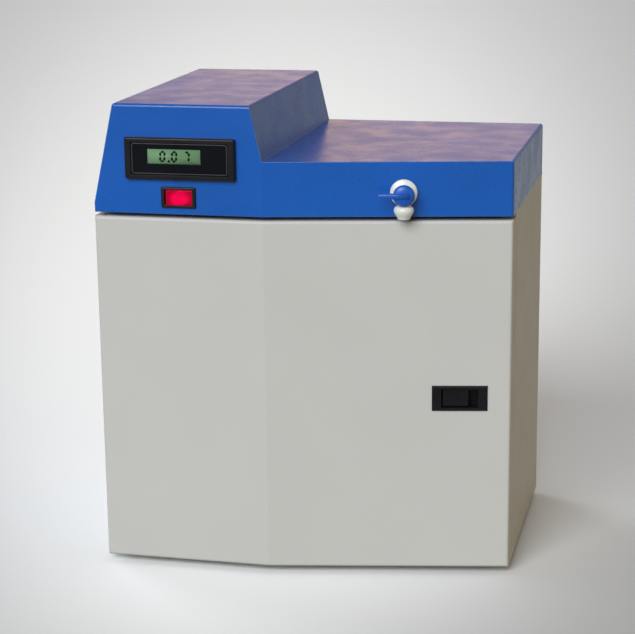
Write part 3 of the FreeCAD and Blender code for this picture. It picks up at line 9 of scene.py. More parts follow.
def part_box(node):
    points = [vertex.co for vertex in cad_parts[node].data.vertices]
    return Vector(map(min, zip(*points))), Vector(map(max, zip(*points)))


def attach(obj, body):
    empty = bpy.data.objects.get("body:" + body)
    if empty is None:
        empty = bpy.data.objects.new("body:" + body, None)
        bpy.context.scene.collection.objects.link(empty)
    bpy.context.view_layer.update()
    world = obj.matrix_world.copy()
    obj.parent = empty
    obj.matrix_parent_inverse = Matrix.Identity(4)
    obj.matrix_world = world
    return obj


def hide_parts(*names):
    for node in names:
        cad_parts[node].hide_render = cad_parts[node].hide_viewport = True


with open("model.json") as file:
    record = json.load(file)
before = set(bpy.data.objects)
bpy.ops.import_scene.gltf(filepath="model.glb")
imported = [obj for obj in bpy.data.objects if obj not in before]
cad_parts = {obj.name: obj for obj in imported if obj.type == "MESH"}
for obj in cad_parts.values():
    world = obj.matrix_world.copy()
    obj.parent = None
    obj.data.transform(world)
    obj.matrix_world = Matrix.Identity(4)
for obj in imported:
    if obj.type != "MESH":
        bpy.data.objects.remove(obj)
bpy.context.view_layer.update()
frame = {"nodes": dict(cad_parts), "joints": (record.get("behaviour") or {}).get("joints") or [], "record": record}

MM = 0.001


# Shader helpers. Noise is in ripples per metre, and a grain is its ripples and its height in metres
TINT_RIPPLES = 11
GLOSS_RIPPLES = 35
# Edge ripples: they break up lighter edges that are partly worn and partly a painted highlight
WEAR_AND_HIGHLIGHT_RIPPLES = 160
CLEAR_RIPPLES = 60
PLAIN_GRAIN = (900, 0.00005)
ORANGE_PEEL = (700, 0.000012)
FINE_GRAIN = (2400, 0.00003)
GRAIN_DETAIL = 2.0
GRAIN_STRENGTH = 0.35
EDGE_SAMPLES = 4
SHARPEST_EDGE = 0.80
FLATTEST_EDGE = 0.985
# Edge patches of the same lighter edges, partly worn and partly a painted highlight
WEAR_AND_HIGHLIGHT_PATCHES = (0.35, 1.0)
CLEAR_ROUGHEST = 2.5


def new_material(name):
    """An empty node material with its output and main shader."""
    material = bpy.data.materials.new(name)
    material.use_nodes = True
    tree = material.node_tree
    tree.nodes.clear()
    output = tree.nodes.new("ShaderNodeOutputMaterial")
    shader = tree.nodes.new("ShaderNodeBsdfPrincipled")
    tree.links.new(shader.outputs["BSDF"], output.inputs["Surface"])
    return material, tree, shader


def feed(tree, socket, value):
    """Sets a socket to a number, or links it to another node's output."""
    if isinstance(value, bpy.types.NodeSocket):
        tree.links.new(value, socket)
    else:
        socket.default_value = value


def maths(tree, operation, first, second):
    """One operation on two numbers or outputs."""
    node = tree.nodes.new("ShaderNodeMath")
    node.operation = operation
    feed(tree, node.inputs[0], first)
    feed(tree, node.inputs[1], second)
    return node.outputs[0]


def dot(tree, first, second):
    """The dot product of two vectors or outputs."""
    node = tree.nodes.new("ShaderNodeVectorMath")
    node.operation = "DOT_PRODUCT"
    feed(tree, node.inputs[0], first)
    feed(tree, node.inputs[1], second)
    return node.outputs["Value"]


def spread(tree, value, low, high, start=0.3, end=0.7):
    """Maps a value between start and end onto the range from low to high."""
    node = tree.nodes.new("ShaderNodeMapRange")
    node.interpolation_type = "SMOOTHSTEP"
    node.inputs["From Min"].default_value = start
    node.inputs["From Max"].default_value = end
    node.inputs["To Min"].default_value = low
    node.inputs["To Max"].default_value = high
    tree.links.new(value, node.inputs["Value"])
    return node.outputs["Result"]


def blend_colours(tree, factor, first, second):
    """A colour between two, by a factor."""
    node = tree.nodes.new("ShaderNodeMix")
    node.data_type = "RGBA"
    for socket, colour in ((node.inputs[6], first), (node.inputs[7], second)):
        feed(tree, socket, (*colour, 1) if isinstance(colour, tuple) else colour)
    tree.links.new(factor, node.inputs[0])
    return node.outputs[2]


def noise(tree, scale, detail=4.0):
    """Noise in the object's own space, given in ripples per metre."""
    place = tree.nodes.new("ShaderNodeTexCoord")
    texture = tree.nodes.new("ShaderNodeTexNoise")
    texture.inputs["Scale"].default_value = scale
    texture.inputs["Detail"].default_value = detail
    tree.links.new(place.outputs["Object"], texture.inputs["Vector"])
    return texture.outputs["Fac"]


def softened_normal(tree, radius):
    """The surface normal with every sharp edge rounded by a small radius."""
    node = tree.nodes.new("ShaderNodeBevel")
    node.samples = EDGE_SAMPLES
    node.inputs["Radius"].default_value = radius
    return node.outputs["Normal"]


def edge_wear_and_highlight(tree, rounded, strength):
    """Nought on flat surfaces and up to strength along edges, broken up by noise: a lighter edge that is partly
    worn surface and partly a painted highlight.
    """
    geometry = tree.nodes.new("ShaderNodeNewGeometry")
    bend = dot(tree, rounded, geometry.outputs["Normal"])
    edge = spread(tree, bend, strength, 0.0, SHARPEST_EDGE, FLATTEST_EDGE)
    return maths(tree, "MULTIPLY", edge, spread(tree, noise(tree, WEAR_AND_HIGHLIGHT_RIPPLES), *WEAR_AND_HIGHLIGHT_PATCHES))


def add_grain(tree, shader, rounded, scale, height):
    """A fine surface grain over softened edges."""
    node = tree.nodes.new("ShaderNodeBump")
    node.inputs["Strength"].default_value = GRAIN_STRENGTH
    node.inputs["Distance"].default_value = height
    tree.links.new(noise(tree, scale, GRAIN_DETAIL), node.inputs["Height"])
    tree.links.new(rounded, node.inputs["Normal"])
    tree.links.new(node.outputs["Normal"], shader.inputs["Normal"])


def surface(
    name,
    colour,
    rough,
    shade=0.04,
    metal=0.0,
    grain=PLAIN_GRAIN,
    wear_and_highlight=None,
    gloss=0.5,
    edge=0.5,
):
    """A painted, moulded or metal surface: slight changes of colour and gloss, a grain, and soft edges painted
    lighter, partly as worn surface and partly as a highlight.

    Rough is a range, the lighter edge colour with its strength is partly worn colour and partly painted highlight,
    and edge is the rounding in millimetres.
    """
    material, tree, shader = new_material(name)
    darker = tuple(channel * (1 - shade) for channel in colour)
    lighter = tuple(min(channel * (1 + shade), 1) for channel in colour)
    rounded = softened_normal(tree, edge * MM)
    tint = blend_colours(tree, spread(tree, noise(tree, TINT_RIPPLES), 0, 1), darker, lighter)
    # Edges painted lighter, partly as worn surface and partly as a highlight
    if wear_and_highlight:
        worn_and_lit_colour, strength = wear_and_highlight
        tint = blend_colours(tree, edge_wear_and_highlight(tree, rounded, strength), tint, worn_and_lit_colour)
    tree.links.new(tint, shader.inputs["Base Color"])
    tree.links.new(spread(tree, noise(tree, GLOSS_RIPPLES), *rough), shader.inputs["Roughness"])
    shader.inputs["Metallic"].default_value = metal
    shader.inputs["Specular IOR Level"].default_value = gloss
    add_grain(tree, shader, rounded, *grain)
    return material


def clear_surface(name, colour, alpha, rough=0.04):
    """Clear plastic or glass that lets light through and keeps a sharp reflection."""
    material, tree, shader = new_material(name)
    shader.inputs["Base Color"].default_value = (*colour, 1)
    shader.inputs["Alpha"].default_value = alpha
    roughness = spread(tree, noise(tree, CLEAR_RIPPLES), rough, rough * CLEAR_ROUGHEST)
    tree.links.new(roughness, shader.inputs["Roughness"])
    return material


# Materials, one for each slot of the record, one for the display's figures and one for a painted highlight line on
# the meter's faceplate
LAMP_SHIFT = Vector((-1.0, 0, -0.4)) * MM
LAMP_REACH = 0.75
LAMP_FADE = (0.02, 0.2)
LAMP_RED = (0.90, 0.0, 0.072)
RIM_RED = (0.36, 0.0, 0.02)
UNLIT_RED = (0.12, 0.0, 0.005, 1)
BEADS_PER_METRE = 900
BEAD_HEIGHT = 0.0004
BEAD_AMBER = (0.42, 0.22, 0.05)
# Painted shade: the dark colour in the gaps between the beads
BEAD_GAP_SHADE = (0.10, 0.045, 0.01)


def lit_rocker():
    """Red translucent plastic with a lamp behind it: brightest in the middle, deeper at its rim."""
    material, tree, shader = new_material("rocker_red")
    low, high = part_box("rocker")
    place = tree.nodes.new("ShaderNodeTexCoord")
    mapping = tree.nodes.new("ShaderNodeMapping")
    mapping.vector_type = "TEXTURE"
    mapping.inputs["Location"].default_value = (low + high) * 0.5 + LAMP_SHIFT
    mapping.inputs["Scale"].default_value = (high - low) * LAMP_REACH
    ball = tree.nodes.new("ShaderNodeTexGradient")
    ball.gradient_type = "QUADRATIC_SPHERE"
    tree.links.new(place.outputs["Object"], mapping.inputs["Vector"])
    tree.links.new(mapping.outputs["Vector"], ball.inputs["Vector"])
    nearness = spread(tree, ball.outputs["Fac"], 0, 1, *LAMP_FADE)
    colour = blend_colours(tree, nearness, RIM_RED, LAMP_RED)
    shader.inputs["Base Color"].default_value = UNLIT_RED
    shader.inputs["Specular IOR Level"].default_value = 0.1
    tree.links.new(colour, shader.inputs["Emission Color"])
    tree.links.new(spread(tree, noise(tree, 200), 0.75, 0.95), shader.inputs["Emission Strength"])
    tree.links.new(spread(tree, noise(tree, 80), 0.15, 0.25), shader.inputs["Roughness"])
    return material


def resin_beads():
    """Amber ion-exchange beads packed behind a clear wall, with painted shade dark in the gaps between them."""
    material, tree, shader = new_material("resin_beads")
    cells = tree.nodes.new("ShaderNodeTexVoronoi")
    place = tree.nodes.new("ShaderNodeTexCoord")
    cells.inputs["Scale"].default_value = BEADS_PER_METRE
    tree.links.new(place.outputs["Object"], cells.inputs["Vector"])
    # The beads are painted darker towards the gaps between them, as shade
    gap_shade = spread(tree, cells.outputs["Distance"], 0, 1, 0.1, 0.6)
    tint = blend_colours(tree, gap_shade, BEAD_AMBER, BEAD_GAP_SHADE)
    bump = tree.nodes.new("ShaderNodeBump")
    bump.invert = True
    bump.inputs["Strength"].default_value = 0.6
    bump.inputs["Distance"].default_value = BEAD_HEIGHT
    tree.links.new(cells.outputs["Distance"], bump.inputs["Height"])
    tree.links.new(bump.outputs["Normal"], shader.inputs["Normal"])
    tree.links.new(tint, shader.inputs["Base Color"])
    tree.links.new(spread(tree, noise(tree, 50), 0.3, 0.5), shader.inputs["Roughness"])
    return material


# The edge colours given below paint edges lighter, partly as worn surface and partly as a painted highlight
paints = {
    "cabinet_paint": surface(
        "cabinet_paint",
        (0.545, 0.553, 0.55),
        (0.42, 0.5),
        0.012,
        grain=ORANGE_PEEL,
        wear_and_highlight=((0.72, 0.73, 0.71), 0.5),
        gloss=0.35,
    ),
    "head_paint": surface(
        "head_paint",
        (0.002, 0.096, 0.46),
        (0.24, 0.31),
        0.05,
        grain=ORANGE_PEEL,
        # The pale blue along the head's edges is a painted highlight on its folds
        wear_and_highlight=((0.30, 0.42, 0.62), 0.85),
        edge=0.9,
    ),
    "latch_plastic": surface(
        "latch_plastic",
        (0.005, 0.005, 0.007),
        (0.35, 0.5),
        0.2,
        grain=FINE_GRAIN,
        gloss=0.2,
    ),
    "meter_plastic": surface(
        "meter_plastic",
        (0.006, 0.006, 0.008),
        (0.3, 0.4),
        0.2,
        grain=FINE_GRAIN,
        wear_and_highlight=((0.05, 0.05, 0.06), 0.7),
        gloss=0.3,
    ),
    "faceplate_plastic": surface("faceplate_plastic", (0.004, 0.005, 0.008), (0.14, 0.22), 0.15, gloss=0.15),
    "display_glass": clear_surface("display_glass", (0.02, 0.03, 0.02), 0.03),
    "display_green": surface("display_green", (0.155, 0.30, 0.165), (0.25, 0.35), 0.06, gloss=0.15),
    "rocker_red": lit_rocker(),
    "switch_plastic": surface(
        "switch_plastic",
        (0.008, 0.008, 0.010),
        (0.3, 0.4),
        0.2,
        grain=FINE_GRAIN,
        wear_and_highlight=((0.20, 0.17, 0.18), 0.8),
        gloss=0.3,
    ),
    "tap_white": surface("tap_white", (0.72, 0.76, 0.73), (0.2, 0.3), 0.03),
    "tap_blue": surface("tap_blue", (0.003, 0.09, 0.50), (0.25, 0.35), 0.06, wear_and_highlight=((0.1, 0.3, 0.75), 0.5)),
    "zinc_steel": surface("zinc_steel", (0.62, 0.62, 0.65), (0.25, 0.45), 0.08, metal=1.0),
    "feet_rubber": surface(
        "feet_rubber",
        (0.012, 0.012, 0.012),
        (0.7, 0.85),
        0.2,
        grain=(1800, 0.0001),
        gloss=0.3,
    ),
    "filter_white": surface("filter_white", (0.76, 0.77, 0.76), (0.25, 0.35), 0.03),
    "carbon_plastic": surface("carbon_plastic", (0.56, 0.66, 0.76), (0.25, 0.35), 0.04),
    "resin_shell": clear_surface("resin_shell", (0.75, 0.85, 0.88), 0.25, 0.06),
    "resin_beads": resin_beads(),
    "tube_plastic": surface("tube_plastic", (0.72, 0.74, 0.77), (0.2, 0.3), 0.03),
    "fitting_plastic": surface("fitting_plastic", (0.60, 0.60, 0.60), (0.35, 0.45), 0.04, grain=FINE_GRAIN),
    "motor_paint": surface(
        "motor_paint",
        (0.015, 0.015, 0.016),
        (0.3, 0.45),
        0.2,
        wear_and_highlight=((0.2, 0.2, 0.2), 0.6),
    ),
    "supply_metal": surface("supply_metal", (0.6, 0.6, 0.61), (0.3, 0.45), 0.06, metal=1.0),
    "inlet_plastic": surface("inlet_plastic", (0.012, 0.012, 0.012), (0.35, 0.5), 0.2, grain=FINE_GRAIN),
    "figure_ink": surface("figure_ink", (0.012, 0.045, 0.020), (0.5, 0.6), 0.1, gloss=0.2),
    # A painted highlight: the lit edge of the meter's faceplate
    "plate_highlight": surface("plate_highlight", (0.10, 0.10, 0.11), (0.4, 0.5), 0.1, gloss=0.2),
}

slot_of = {entry["node"]: entry["material_slot"] for entry in frame["record"]["subparts"]}
for name, node in frame["nodes"].items():
    node.data.materials.clear()
    node.data.materials.append(paints[slot_of[name]])


# Helpers for new pieces
ARC_STEPS = 6
LATHE_STEPS = 48
SAME_POINT = 0.01 * MM


def built_mesh(name, build):
    """The mesh that a function makes by filling an empty bmesh."""
    shape = bmesh.new()
    build(shape)
    bmesh.ops.recalc_face_normals(shape, faces=shape.faces)
    data = bpy.data.meshes.new(name)
    shape.to_mesh(data)
    shape.free()
    return data


def mesh_piece(name, build, paint, body):
    """A new smooth piece that rides on a body and stands in a slot."""
    data = built_mesh(name, build)
    for face in data.polygons:
        face.use_smooth = True
    piece = bpy.data.objects.new(name, data)
    bpy.context.scene.collection.objects.link(piece)
    data.materials.append(paints[paint])
    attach(piece, body)
    return piece


def rounded_rectangle(x, z, width, height, radius):
    """A rectangle about a centre in x and z, with an arc at each corner."""
    points = []
    for quarter, (side, rise) in enumerate(((1, 1), (-1, 1), (-1, -1), (1, -1))):
        centre_x = x + side * (width * 0.5 - radius)
        centre_z = z + rise * (height * 0.5 - radius)
        for step in range(ARC_STEPS + 1):
            angle = math.radians(90 * (quarter + step / ARC_STEPS))
            points.append((centre_x + radius * math.cos(angle), centre_z + radius * math.sin(angle)))
    return points


def add_loop(shape, points, level):
    """A loop of vertices through these points in x and z, all at one depth."""
    return [shape.verts.new((x, level, z)) for x, z in points]


def join_loops(shape, first, second):
    """A band of faces between two loops with as many points."""
    count = len(first)
    for i in range(count):
        after = (i + 1) % count
        shape.faces.new((first[i], second[i], second[after], first[after]))


def add_prism(shape, points, low, high):
    """Adds a flat plate with this outline in x and z, between two depths."""
    front = add_loop(shape, points, low)
    back = add_loop(shape, points, high)
    shape.faces.new(front)
    shape.faces.new(back[::-1])
    join_loops(shape, front, back)


def add_frame(shape, outer, inner, low, high):
    """Adds a flat ring between two outlines with as many points."""
    corners = ((outer, low), (outer, high), (inner, high), (inner, low))
    loops = [add_loop(shape, points, level) for points, level in corners]
    for first, second in zip(loops, loops[1:] + loops[:1]):
        join_loops(shape, first, second)


def around(steps):
    """The angles of a full turn in equal steps."""
    return [math.tau * step / steps for step in range(steps)]


def add_lathe(shape, profile, place, steps=LATHE_STEPS):
    """Turns a profile of (radius, height) about the axis of place, and closes it at both ends."""
    loops = []
    for radius, height in profile:
        ring = [place(radius * math.cos(a), radius * math.sin(a), height) for a in around(steps)]
        loops.append([shape.verts.new(point) for point in ring])
    for first, second in zip(loops, loops[1:]):
        join_loops(shape, first, second)
    shape.faces.new(loops[0])
    shape.faces.new(loops[-1][::-1])


def islands(node):
    """The box of each separate solid of a node, as pairs of corners."""
    shape = bmesh.new()
    shape.from_mesh(frame["nodes"][node].data)
    bmesh.ops.remove_doubles(shape, verts=shape.verts, dist=SAME_POINT)
    waiting = set(shape.verts)
    boxes = []
    while waiting:
        group = {waiting.pop()}
        edge_of_group = set(group)
        while edge_of_group:
            near = {edge.other_vert(vert) for vert in edge_of_group for edge in vert.link_edges}
            edge_of_group = near - group
            group |= edge_of_group
        waiting -= group
        places = [vert.co for vert in group]
        low = Vector([min(place[axis] for place in places) for axis in range(3)])
        high = Vector([max(place[axis] for place in places) for axis in range(3)])
        boxes.append((low, high))
    shape.free()
    return sorted(boxes, key=lambda pair: (round(pair[0].x, 4), round(pair[0].z, 4)))


# The figures on the display, seven bars each
BAR_SHAPES = {
    "0": "abcdef",
    "7": "abc",
}
glass_low, glass_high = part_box("display_glass")
SCREEN_BEHIND = 0.15 * MM
SCREEN_CORNER = 0.5 * MM
SCREEN_FRONT = glass_low.y + SCREEN_BEHIND
GLASS_MIDDLE = (glass_low + glass_high) * 0.5
FIGURE_HEIGHT = 9.8 * MM
FIGURE_WIDTH = 5.6 * MM
FIGURE_RAISED = 0.06 * MM
BAR = 2.0 * MM
BAR_GAP_SHARE = 0.2
LEAN = 0.06
FIGURES = "007"
FIGURE_PLACES = (-13.0 * MM, -2.8 * MM, 8.0 * MM)


def bar_outline(letter, left, low):
    """One bar of a figure, with pointed ends and a slight lean."""
    half = BAR * 0.5
    middle = low + FIGURE_HEIGHT * 0.5
    high = low + FIGURE_HEIGHT
    right = left + FIGURE_WIDTH
    gap = half * BAR_GAP_SHARE
    if letter in "agd":
        level = {"a": high - half, "g": middle, "d": low + half}[letter]
        start, end = left + half + gap, right - half - gap
        corners = [
            (start, level),
            (start + half, level + half),
            (end - half, level + half),
            (end, level),
            (end - half, level - half),
            (start + half, level - half),
        ]
    else:
        x = left + half if letter in "ef" else right - half
        if letter in "ec":
            start, end = low + half + gap, middle - gap
        else:
            start, end = middle + gap, high - half - gap
        corners = [
            (x, start),
            (x + half, start + half),
            (x + half, end - half),
            (x, end),
            (x - half, end - half),
            (x - half, start + half),
        ]
    return [(px + (pz - low) * LEAN, pz) for px, pz in corners]


def build_screen(shape):
    """The liquid-crystal screen, a thin plate with rounded corners close behind the window's front."""
    size = glass_high - glass_low
    outline = rounded_rectangle(GLASS_MIDDLE.x, GLASS_MIDDLE.z, size.x, size.z, SCREEN_CORNER)
    add_prism(shape, outline, SCREEN_FRONT, glass_high.y)


screen = mesh_piece("display_screen", build_screen, "display_green", "cabinet")
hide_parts("display_glass")


def build_figures(shape):
    """The figures 0.07 as thin raised bars on the screen's face."""
    front = SCREEN_FRONT - FIGURE_RAISED
    low = GLASS_MIDDLE.z - FIGURE_HEIGHT * 0.5
    for figure, place in zip(FIGURES, FIGURE_PLACES):
        for letter in BAR_SHAPES[figure]:
            add_prism(shape, bar_outline(letter, GLASS_MIDDLE.x + place, low), front, SCREEN_FRONT)
    point = GLASS_MIDDLE.x + FIGURE_PLACES[0] + FIGURE_WIDTH + BAR
    corners = [(point, low), (point + BAR, low), (point + BAR, low + BAR), (point, low + BAR)]
    add_prism(shape, corners, front, SCREEN_FRONT)


mesh_piece("display_figures", build_figures, "figure_ink", "cabinet")


# The meter faceplate's lit edge as a painted highlight line, a thin raised light frame near the faceplate's edge
LINE_INSET = 0.7 * MM
LINE_WIDTH = 0.8 * MM
LINE_HEIGHT = 0.06 * MM
LINE_CORNER = 2.2 * MM


def build_faceplate_highlight(shape):
    """The painted highlight line, following the faceplate's rounded outline."""
    low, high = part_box("meter_faceplate")
    centre = (low + high) * 0.5
    outer_size = [high.x - low.x - 2 * LINE_INSET, high.z - low.z - 2 * LINE_INSET]
    inner_size = [length - 2 * LINE_WIDTH for length in outer_size]
    outer = rounded_rectangle(centre.x, centre.z, *outer_size, LINE_CORNER)
    inner = rounded_rectangle(centre.x, centre.z, *inner_size, LINE_CORNER - LINE_WIDTH)
    add_frame(shape, outer, inner, low.y - LINE_HEIGHT, low.y + LINE_HEIGHT)


mesh_piece("faceplate_highlight", build_faceplate_highlight, "plate_highlight", "cabinet")


# The tap: a smooth hanging spout and a lever with a domed disc
tap_joint = next(joint for joint in frame["joints"] if joint["name"] == "tap_turn")
TAP_INWARD = Vector(tap_joint["axis"]).normalized()
TAP_ALONG = TAP_INWARD.cross(Vector((0, 0, 1))).normalized()
TAP_PIVOT_PROUD = 16 * MM
TAP_FACE = Vector(tap_joint["pos_m"]) + TAP_INWARD * TAP_PIVOT_PROUD
SPOUT_REACH = 9.2 * MM
LEVER_SIDES = 16
LEVER_SQUARENESS = 0.6

# Outlines in millimetres: radius, then distance along the axis from the tap's centre
BARREL_OUTLINE = [
    (6, 14),
    (6, -1),
    (10.6, -1),
    (11.3, -1.6),
    (11.3, -3.2),
    (10.7, -3.9),
    (7.2, -4),
    (6.5, -4.5),
    (6.5, -14.2),
]
SPOUT_OUTLINE = [
    (4.6, -5.0),
    (4.7, -9.0),
    (6.2, -9.5),
    (7.6, -10.6),
    (8.3, -12.2),
    (8.4, -13.6),
    (7.9, -15.4),
    (6.7, -17.2),
    (5.7, -18.8),
    (5.25, -20.0),
    (4.9, -20.6),
    (3.0, -20.6),
    (2.5, -20.2),
    (2.5, -15.0),
]
DISC_OUTLINE = [
    (3, -12.4),
    (3, -14.6),
    (8.4, -14.6),
    (8.9, -15.1),
    (8.9, -16.6),
    (8.3, -17.5),
    (6.0, -18.4),
    (3.0, -18.9),
]

# The lever's blade in millimetres: place along the facet, half its height, its front and its back
BLADE_STATIONS = [
    (4.0, 2.5, -20.6, -15.4),
    (-6.0, 2.45, -20.4, -15.6),
    (-15.0, 2.3, -19.9, -16.2),
    (-20.5, 2.0, -19.5, -16.8),
    (-22.3, 1.1, -19.0, -17.4),
]


def on_tap(x, y, z):
    """A point counted from the tap's centre on the facet: along it, inwards and up."""
    return TAP_FACE + TAP_ALONG * x + TAP_INWARD * y + Vector((0, 0, z))


def scaled(profile):
    """A profile given in millimetres."""
    return [(radius * MM, height * MM) for radius, height in profile]


def build_spout(shape):
    """The flange with its barrel, and the hanging bulb with its open nozzle."""
    add_lathe(shape, scaled(BARREL_OUTLINE), lambda a, b, h: on_tap(a, h, b))
    add_lathe(shape, scaled(SPOUT_OUTLINE), lambda a, b, h: on_tap(a, b - SPOUT_REACH, h))


def squared(value):
    """Pushes a sine or cosine outwards, so that a circle becomes a rounded square."""
    return math.copysign(abs(value) ** LEVER_SQUARENESS, value)


def build_lever(shape):
    """The disc with a domed face, its stem, and the tapered blade to the left."""
    add_lathe(shape, scaled(DISC_OUTLINE), lambda a, b, h: on_tap(a, h, b))
    rings = []
    for x, half, low, high in BLADE_STATIONS:
        middle, reach = (low + high) * 0.5, (high - low) * 0.5
        ring = []
        for angle in around(LEVER_SIDES):
            inward = (middle + squared(math.sin(angle)) * reach) * MM
            upward = squared(math.cos(angle)) * half * MM
            ring.append(shape.verts.new(on_tap(x * MM, inward, upward)))
        rings.append(ring)
    for first, second in zip(rings, rings[1:]):
        join_loops(shape, first, second)
    shape.faces.new(rings[0])
    shape.faces.new(rings[-1][::-1])


spout = mesh_piece("tap_spout_smooth", build_spout, "tap_white", "cabinet")
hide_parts("tap_spout")
lever = mesh_piece("tap_lever_smooth", build_lever, "tap_blue", "tap_handle")
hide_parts("tap_lever")


# Screws with a cross recess
CROSS_LENGTH = 1.9 * MM
CROSS_HALF_WIDTH = 0.4 * MM
CROSS_DEPTH = 1.1 * MM
CROSS_CLEAR = 0.5 * MM
SCREW_STEPS = 28
SCREW_HEAD_THICK = 2.2 * MM
SHANK_SHARE = 0.5

# The domed head, as shares of the head's radius and of its thickness
DOME_SHARES = [
    (1, 0.55),
    (0.86, 0.22),
    (0.6, 0.05),
    (0.25, 0),
]


def cut_away(piece, build):
    """Cuts a shape out of a piece and keeps the result as its mesh."""
    cutter = bpy.data.objects.new("cutter", built_mesh("cutter", build))
    bpy.context.scene.collection.objects.link(cutter)
    cut = piece.modifiers.new("cut", "BOOLEAN")
    cut.object = cutter
    cut.solver = "EXACT"
    bpy.context.view_layer.update()
    finished = piece.evaluated_get(bpy.context.evaluated_depsgraph_get())
    result = bpy.data.meshes.new_from_object(finished)
    piece.modifiers.clear()
    piece.data = result
    bpy.data.objects.remove(cutter)


def cross_outline(x, z):
    """A cross about a centre in x and z."""
    long, short = CROSS_LENGTH, CROSS_HALF_WIDTH
    corners = [
        (short, long),
        (-short, long),
        (-short, short),
        (-long, short),
        (-long, -short),
        (-short, -short),
        (-short, -long),
        (short, -long),
        (short, -short),
        (long, -short),
        (long, short),
        (short, short),
    ]
    return [(x + right, z + up) for right, up in corners]


def cross_screws(name, node, facing):
    """Screws with domed cross-recessed heads in place of a node's plain ones.

    Facing is 1 for heads at the back and -1 for heads at the front.
    """
    boxes = islands(node)

    def along(corners, depth):
        low, high = corners
        return high.y + depth if facing > 0 else low.y - depth

    def build(shape):
        for low, high in boxes:
            radius = (high.x - low.x) * 0.5
            middle = (low + high) * 0.5
            length = high.y - low.y
            profile = [
                (radius * SHANK_SHARE, -length),
                (radius * SHANK_SHARE, -SCREW_HEAD_THICK),
                (radius, -SCREW_HEAD_THICK),
            ]
            profile.extend((radius * out, -SCREW_HEAD_THICK * down) for out, down in DOME_SHARES)
            tip = along((low, high), 0)

            def on_screw(a, b, h):
                return Vector((middle.x + a, tip + facing * h, middle.z + b))

            add_lathe(shape, profile, on_screw, SCREW_STEPS)

    def build_crosses(shape):
        for corners in boxes:
            middle = (corners[0] + corners[1]) * 0.5
            ends = sorted((along(corners, CROSS_CLEAR), along(corners, -CROSS_DEPTH)))
            add_prism(shape, cross_outline(middle.x, middle.z), *ends)

    piece = mesh_piece(name, build, "zinc_steel", "cabinet")
    cut_away(piece, build_crosses)
    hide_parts(node)


cross_screws("rear_cross_screws", "panel_screws", 1)
cross_screws("bracket_cross_screws", "bracket_screws", -1)


# Camera of the photograph
CAMERA_PLACE = Vector((0.35447, -1.57389, 0.60711))
CAMERA_AZIMUTH = math.radians(13.16)
CAMERA_ELEVATION = math.radians(14.24)
CAMERA_ROLL = math.radians(0.66)
CAMERA_LENS = 103.97
CAMERA_SENSOR = 36
CAMERA_REACH = 80


def place_camera():
    """The camera with the photograph's view."""
    level = Vector((-math.sin(CAMERA_AZIMUTH), math.cos(CAMERA_AZIMUTH), 0))
    forward = level * math.cos(CAMERA_ELEVATION) - Vector((0, 0, math.sin(CAMERA_ELEVATION)))
    side = forward.cross(Vector((0, 0, 1))).normalized()
    right = side * math.cos(CAMERA_ROLL) - side.cross(forward) * math.sin(CAMERA_ROLL)
    turn = Matrix((right, right.cross(forward), -forward)).transposed().to_4x4()
    data = bpy.data.cameras.new("camera")
    data.sensor_width = CAMERA_SENSOR
    data.lens = CAMERA_LENS
    data.clip_end = CAMERA_REACH
    camera = bpy.data.objects.new("camera", data)
    camera.matrix_world = Matrix.Translation(CAMERA_PLACE) @ turn
    bpy.context.scene.collection.objects.link(camera)
    bpy.context.scene.camera = camera


# Floor: a painted pool of light, pale along the middle of a fan that opens from the front, painted darker to its
# sides and ends
FLOOR_REACH = 40
FLOOR_BRIGHT = 1.13
FLOOR_LEAST = 0.38
FLOOR_TINT = (0.98, 1.02, 1.05)
FLOOR_LIGHTING = (0.24, 0.25, 0.19, 1)
FAN_FADE = 2.2
FAN_START = Vector((0.30, -1.60, 0))
FAN_TURN = math.radians(13.6)
FAN_WIDTH = 0.30
FAN_MIDDLE = 2.3
FAN_LENGTH = 0.62
FAN_NEAREST = 0.6
FAN_END_SHARE = 0.25


def painted_light_fan(tree):
    """The floor's painted light, from its bright middle to its dim edges."""
    place = tree.nodes.new("ShaderNodeTexCoord")
    shift = tree.nodes.new("ShaderNodeVectorMath")
    shift.operation = "SUBTRACT"
    tree.links.new(place.outputs["Object"], shift.inputs[0])
    shift.inputs[1].default_value = FAN_START
    along = dot(tree, shift.outputs[0], (-math.sin(FAN_TURN), math.cos(FAN_TURN), 0))
    across = dot(tree, shift.outputs[0], (math.cos(FAN_TURN), math.sin(FAN_TURN), 0))
    along = maths(tree, "MAXIMUM", along, FAN_NEAREST)
    sideways = maths(tree, "DIVIDE", maths(tree, "DIVIDE", across, along), FAN_WIDTH)
    closeness = maths(tree, "DIVIDE", FAN_MIDDLE, along)
    lengthways = maths(tree, "DIVIDE", maths(tree, "SUBTRACT", closeness, 1), FAN_LENGTH)
    side_ring = maths(tree, "MULTIPLY", sideways, sideways)
    end_ring = maths(tree, "MULTIPLY", lengthways, lengthways)
    end_ring = maths(tree, "MULTIPLY", end_ring, FAN_END_SHARE)
    ring = maths(tree, "MULTIPLY", maths(tree, "ADD", side_ring, end_ring), FAN_FADE)
    fade = maths(tree, "ADD", 1.0, maths(tree, "MULTIPLY", ring, ring))
    falling = maths(tree, "DIVIDE", 1 - FLOOR_LEAST, fade)
    return maths(tree, "ADD", falling, FLOOR_LEAST)


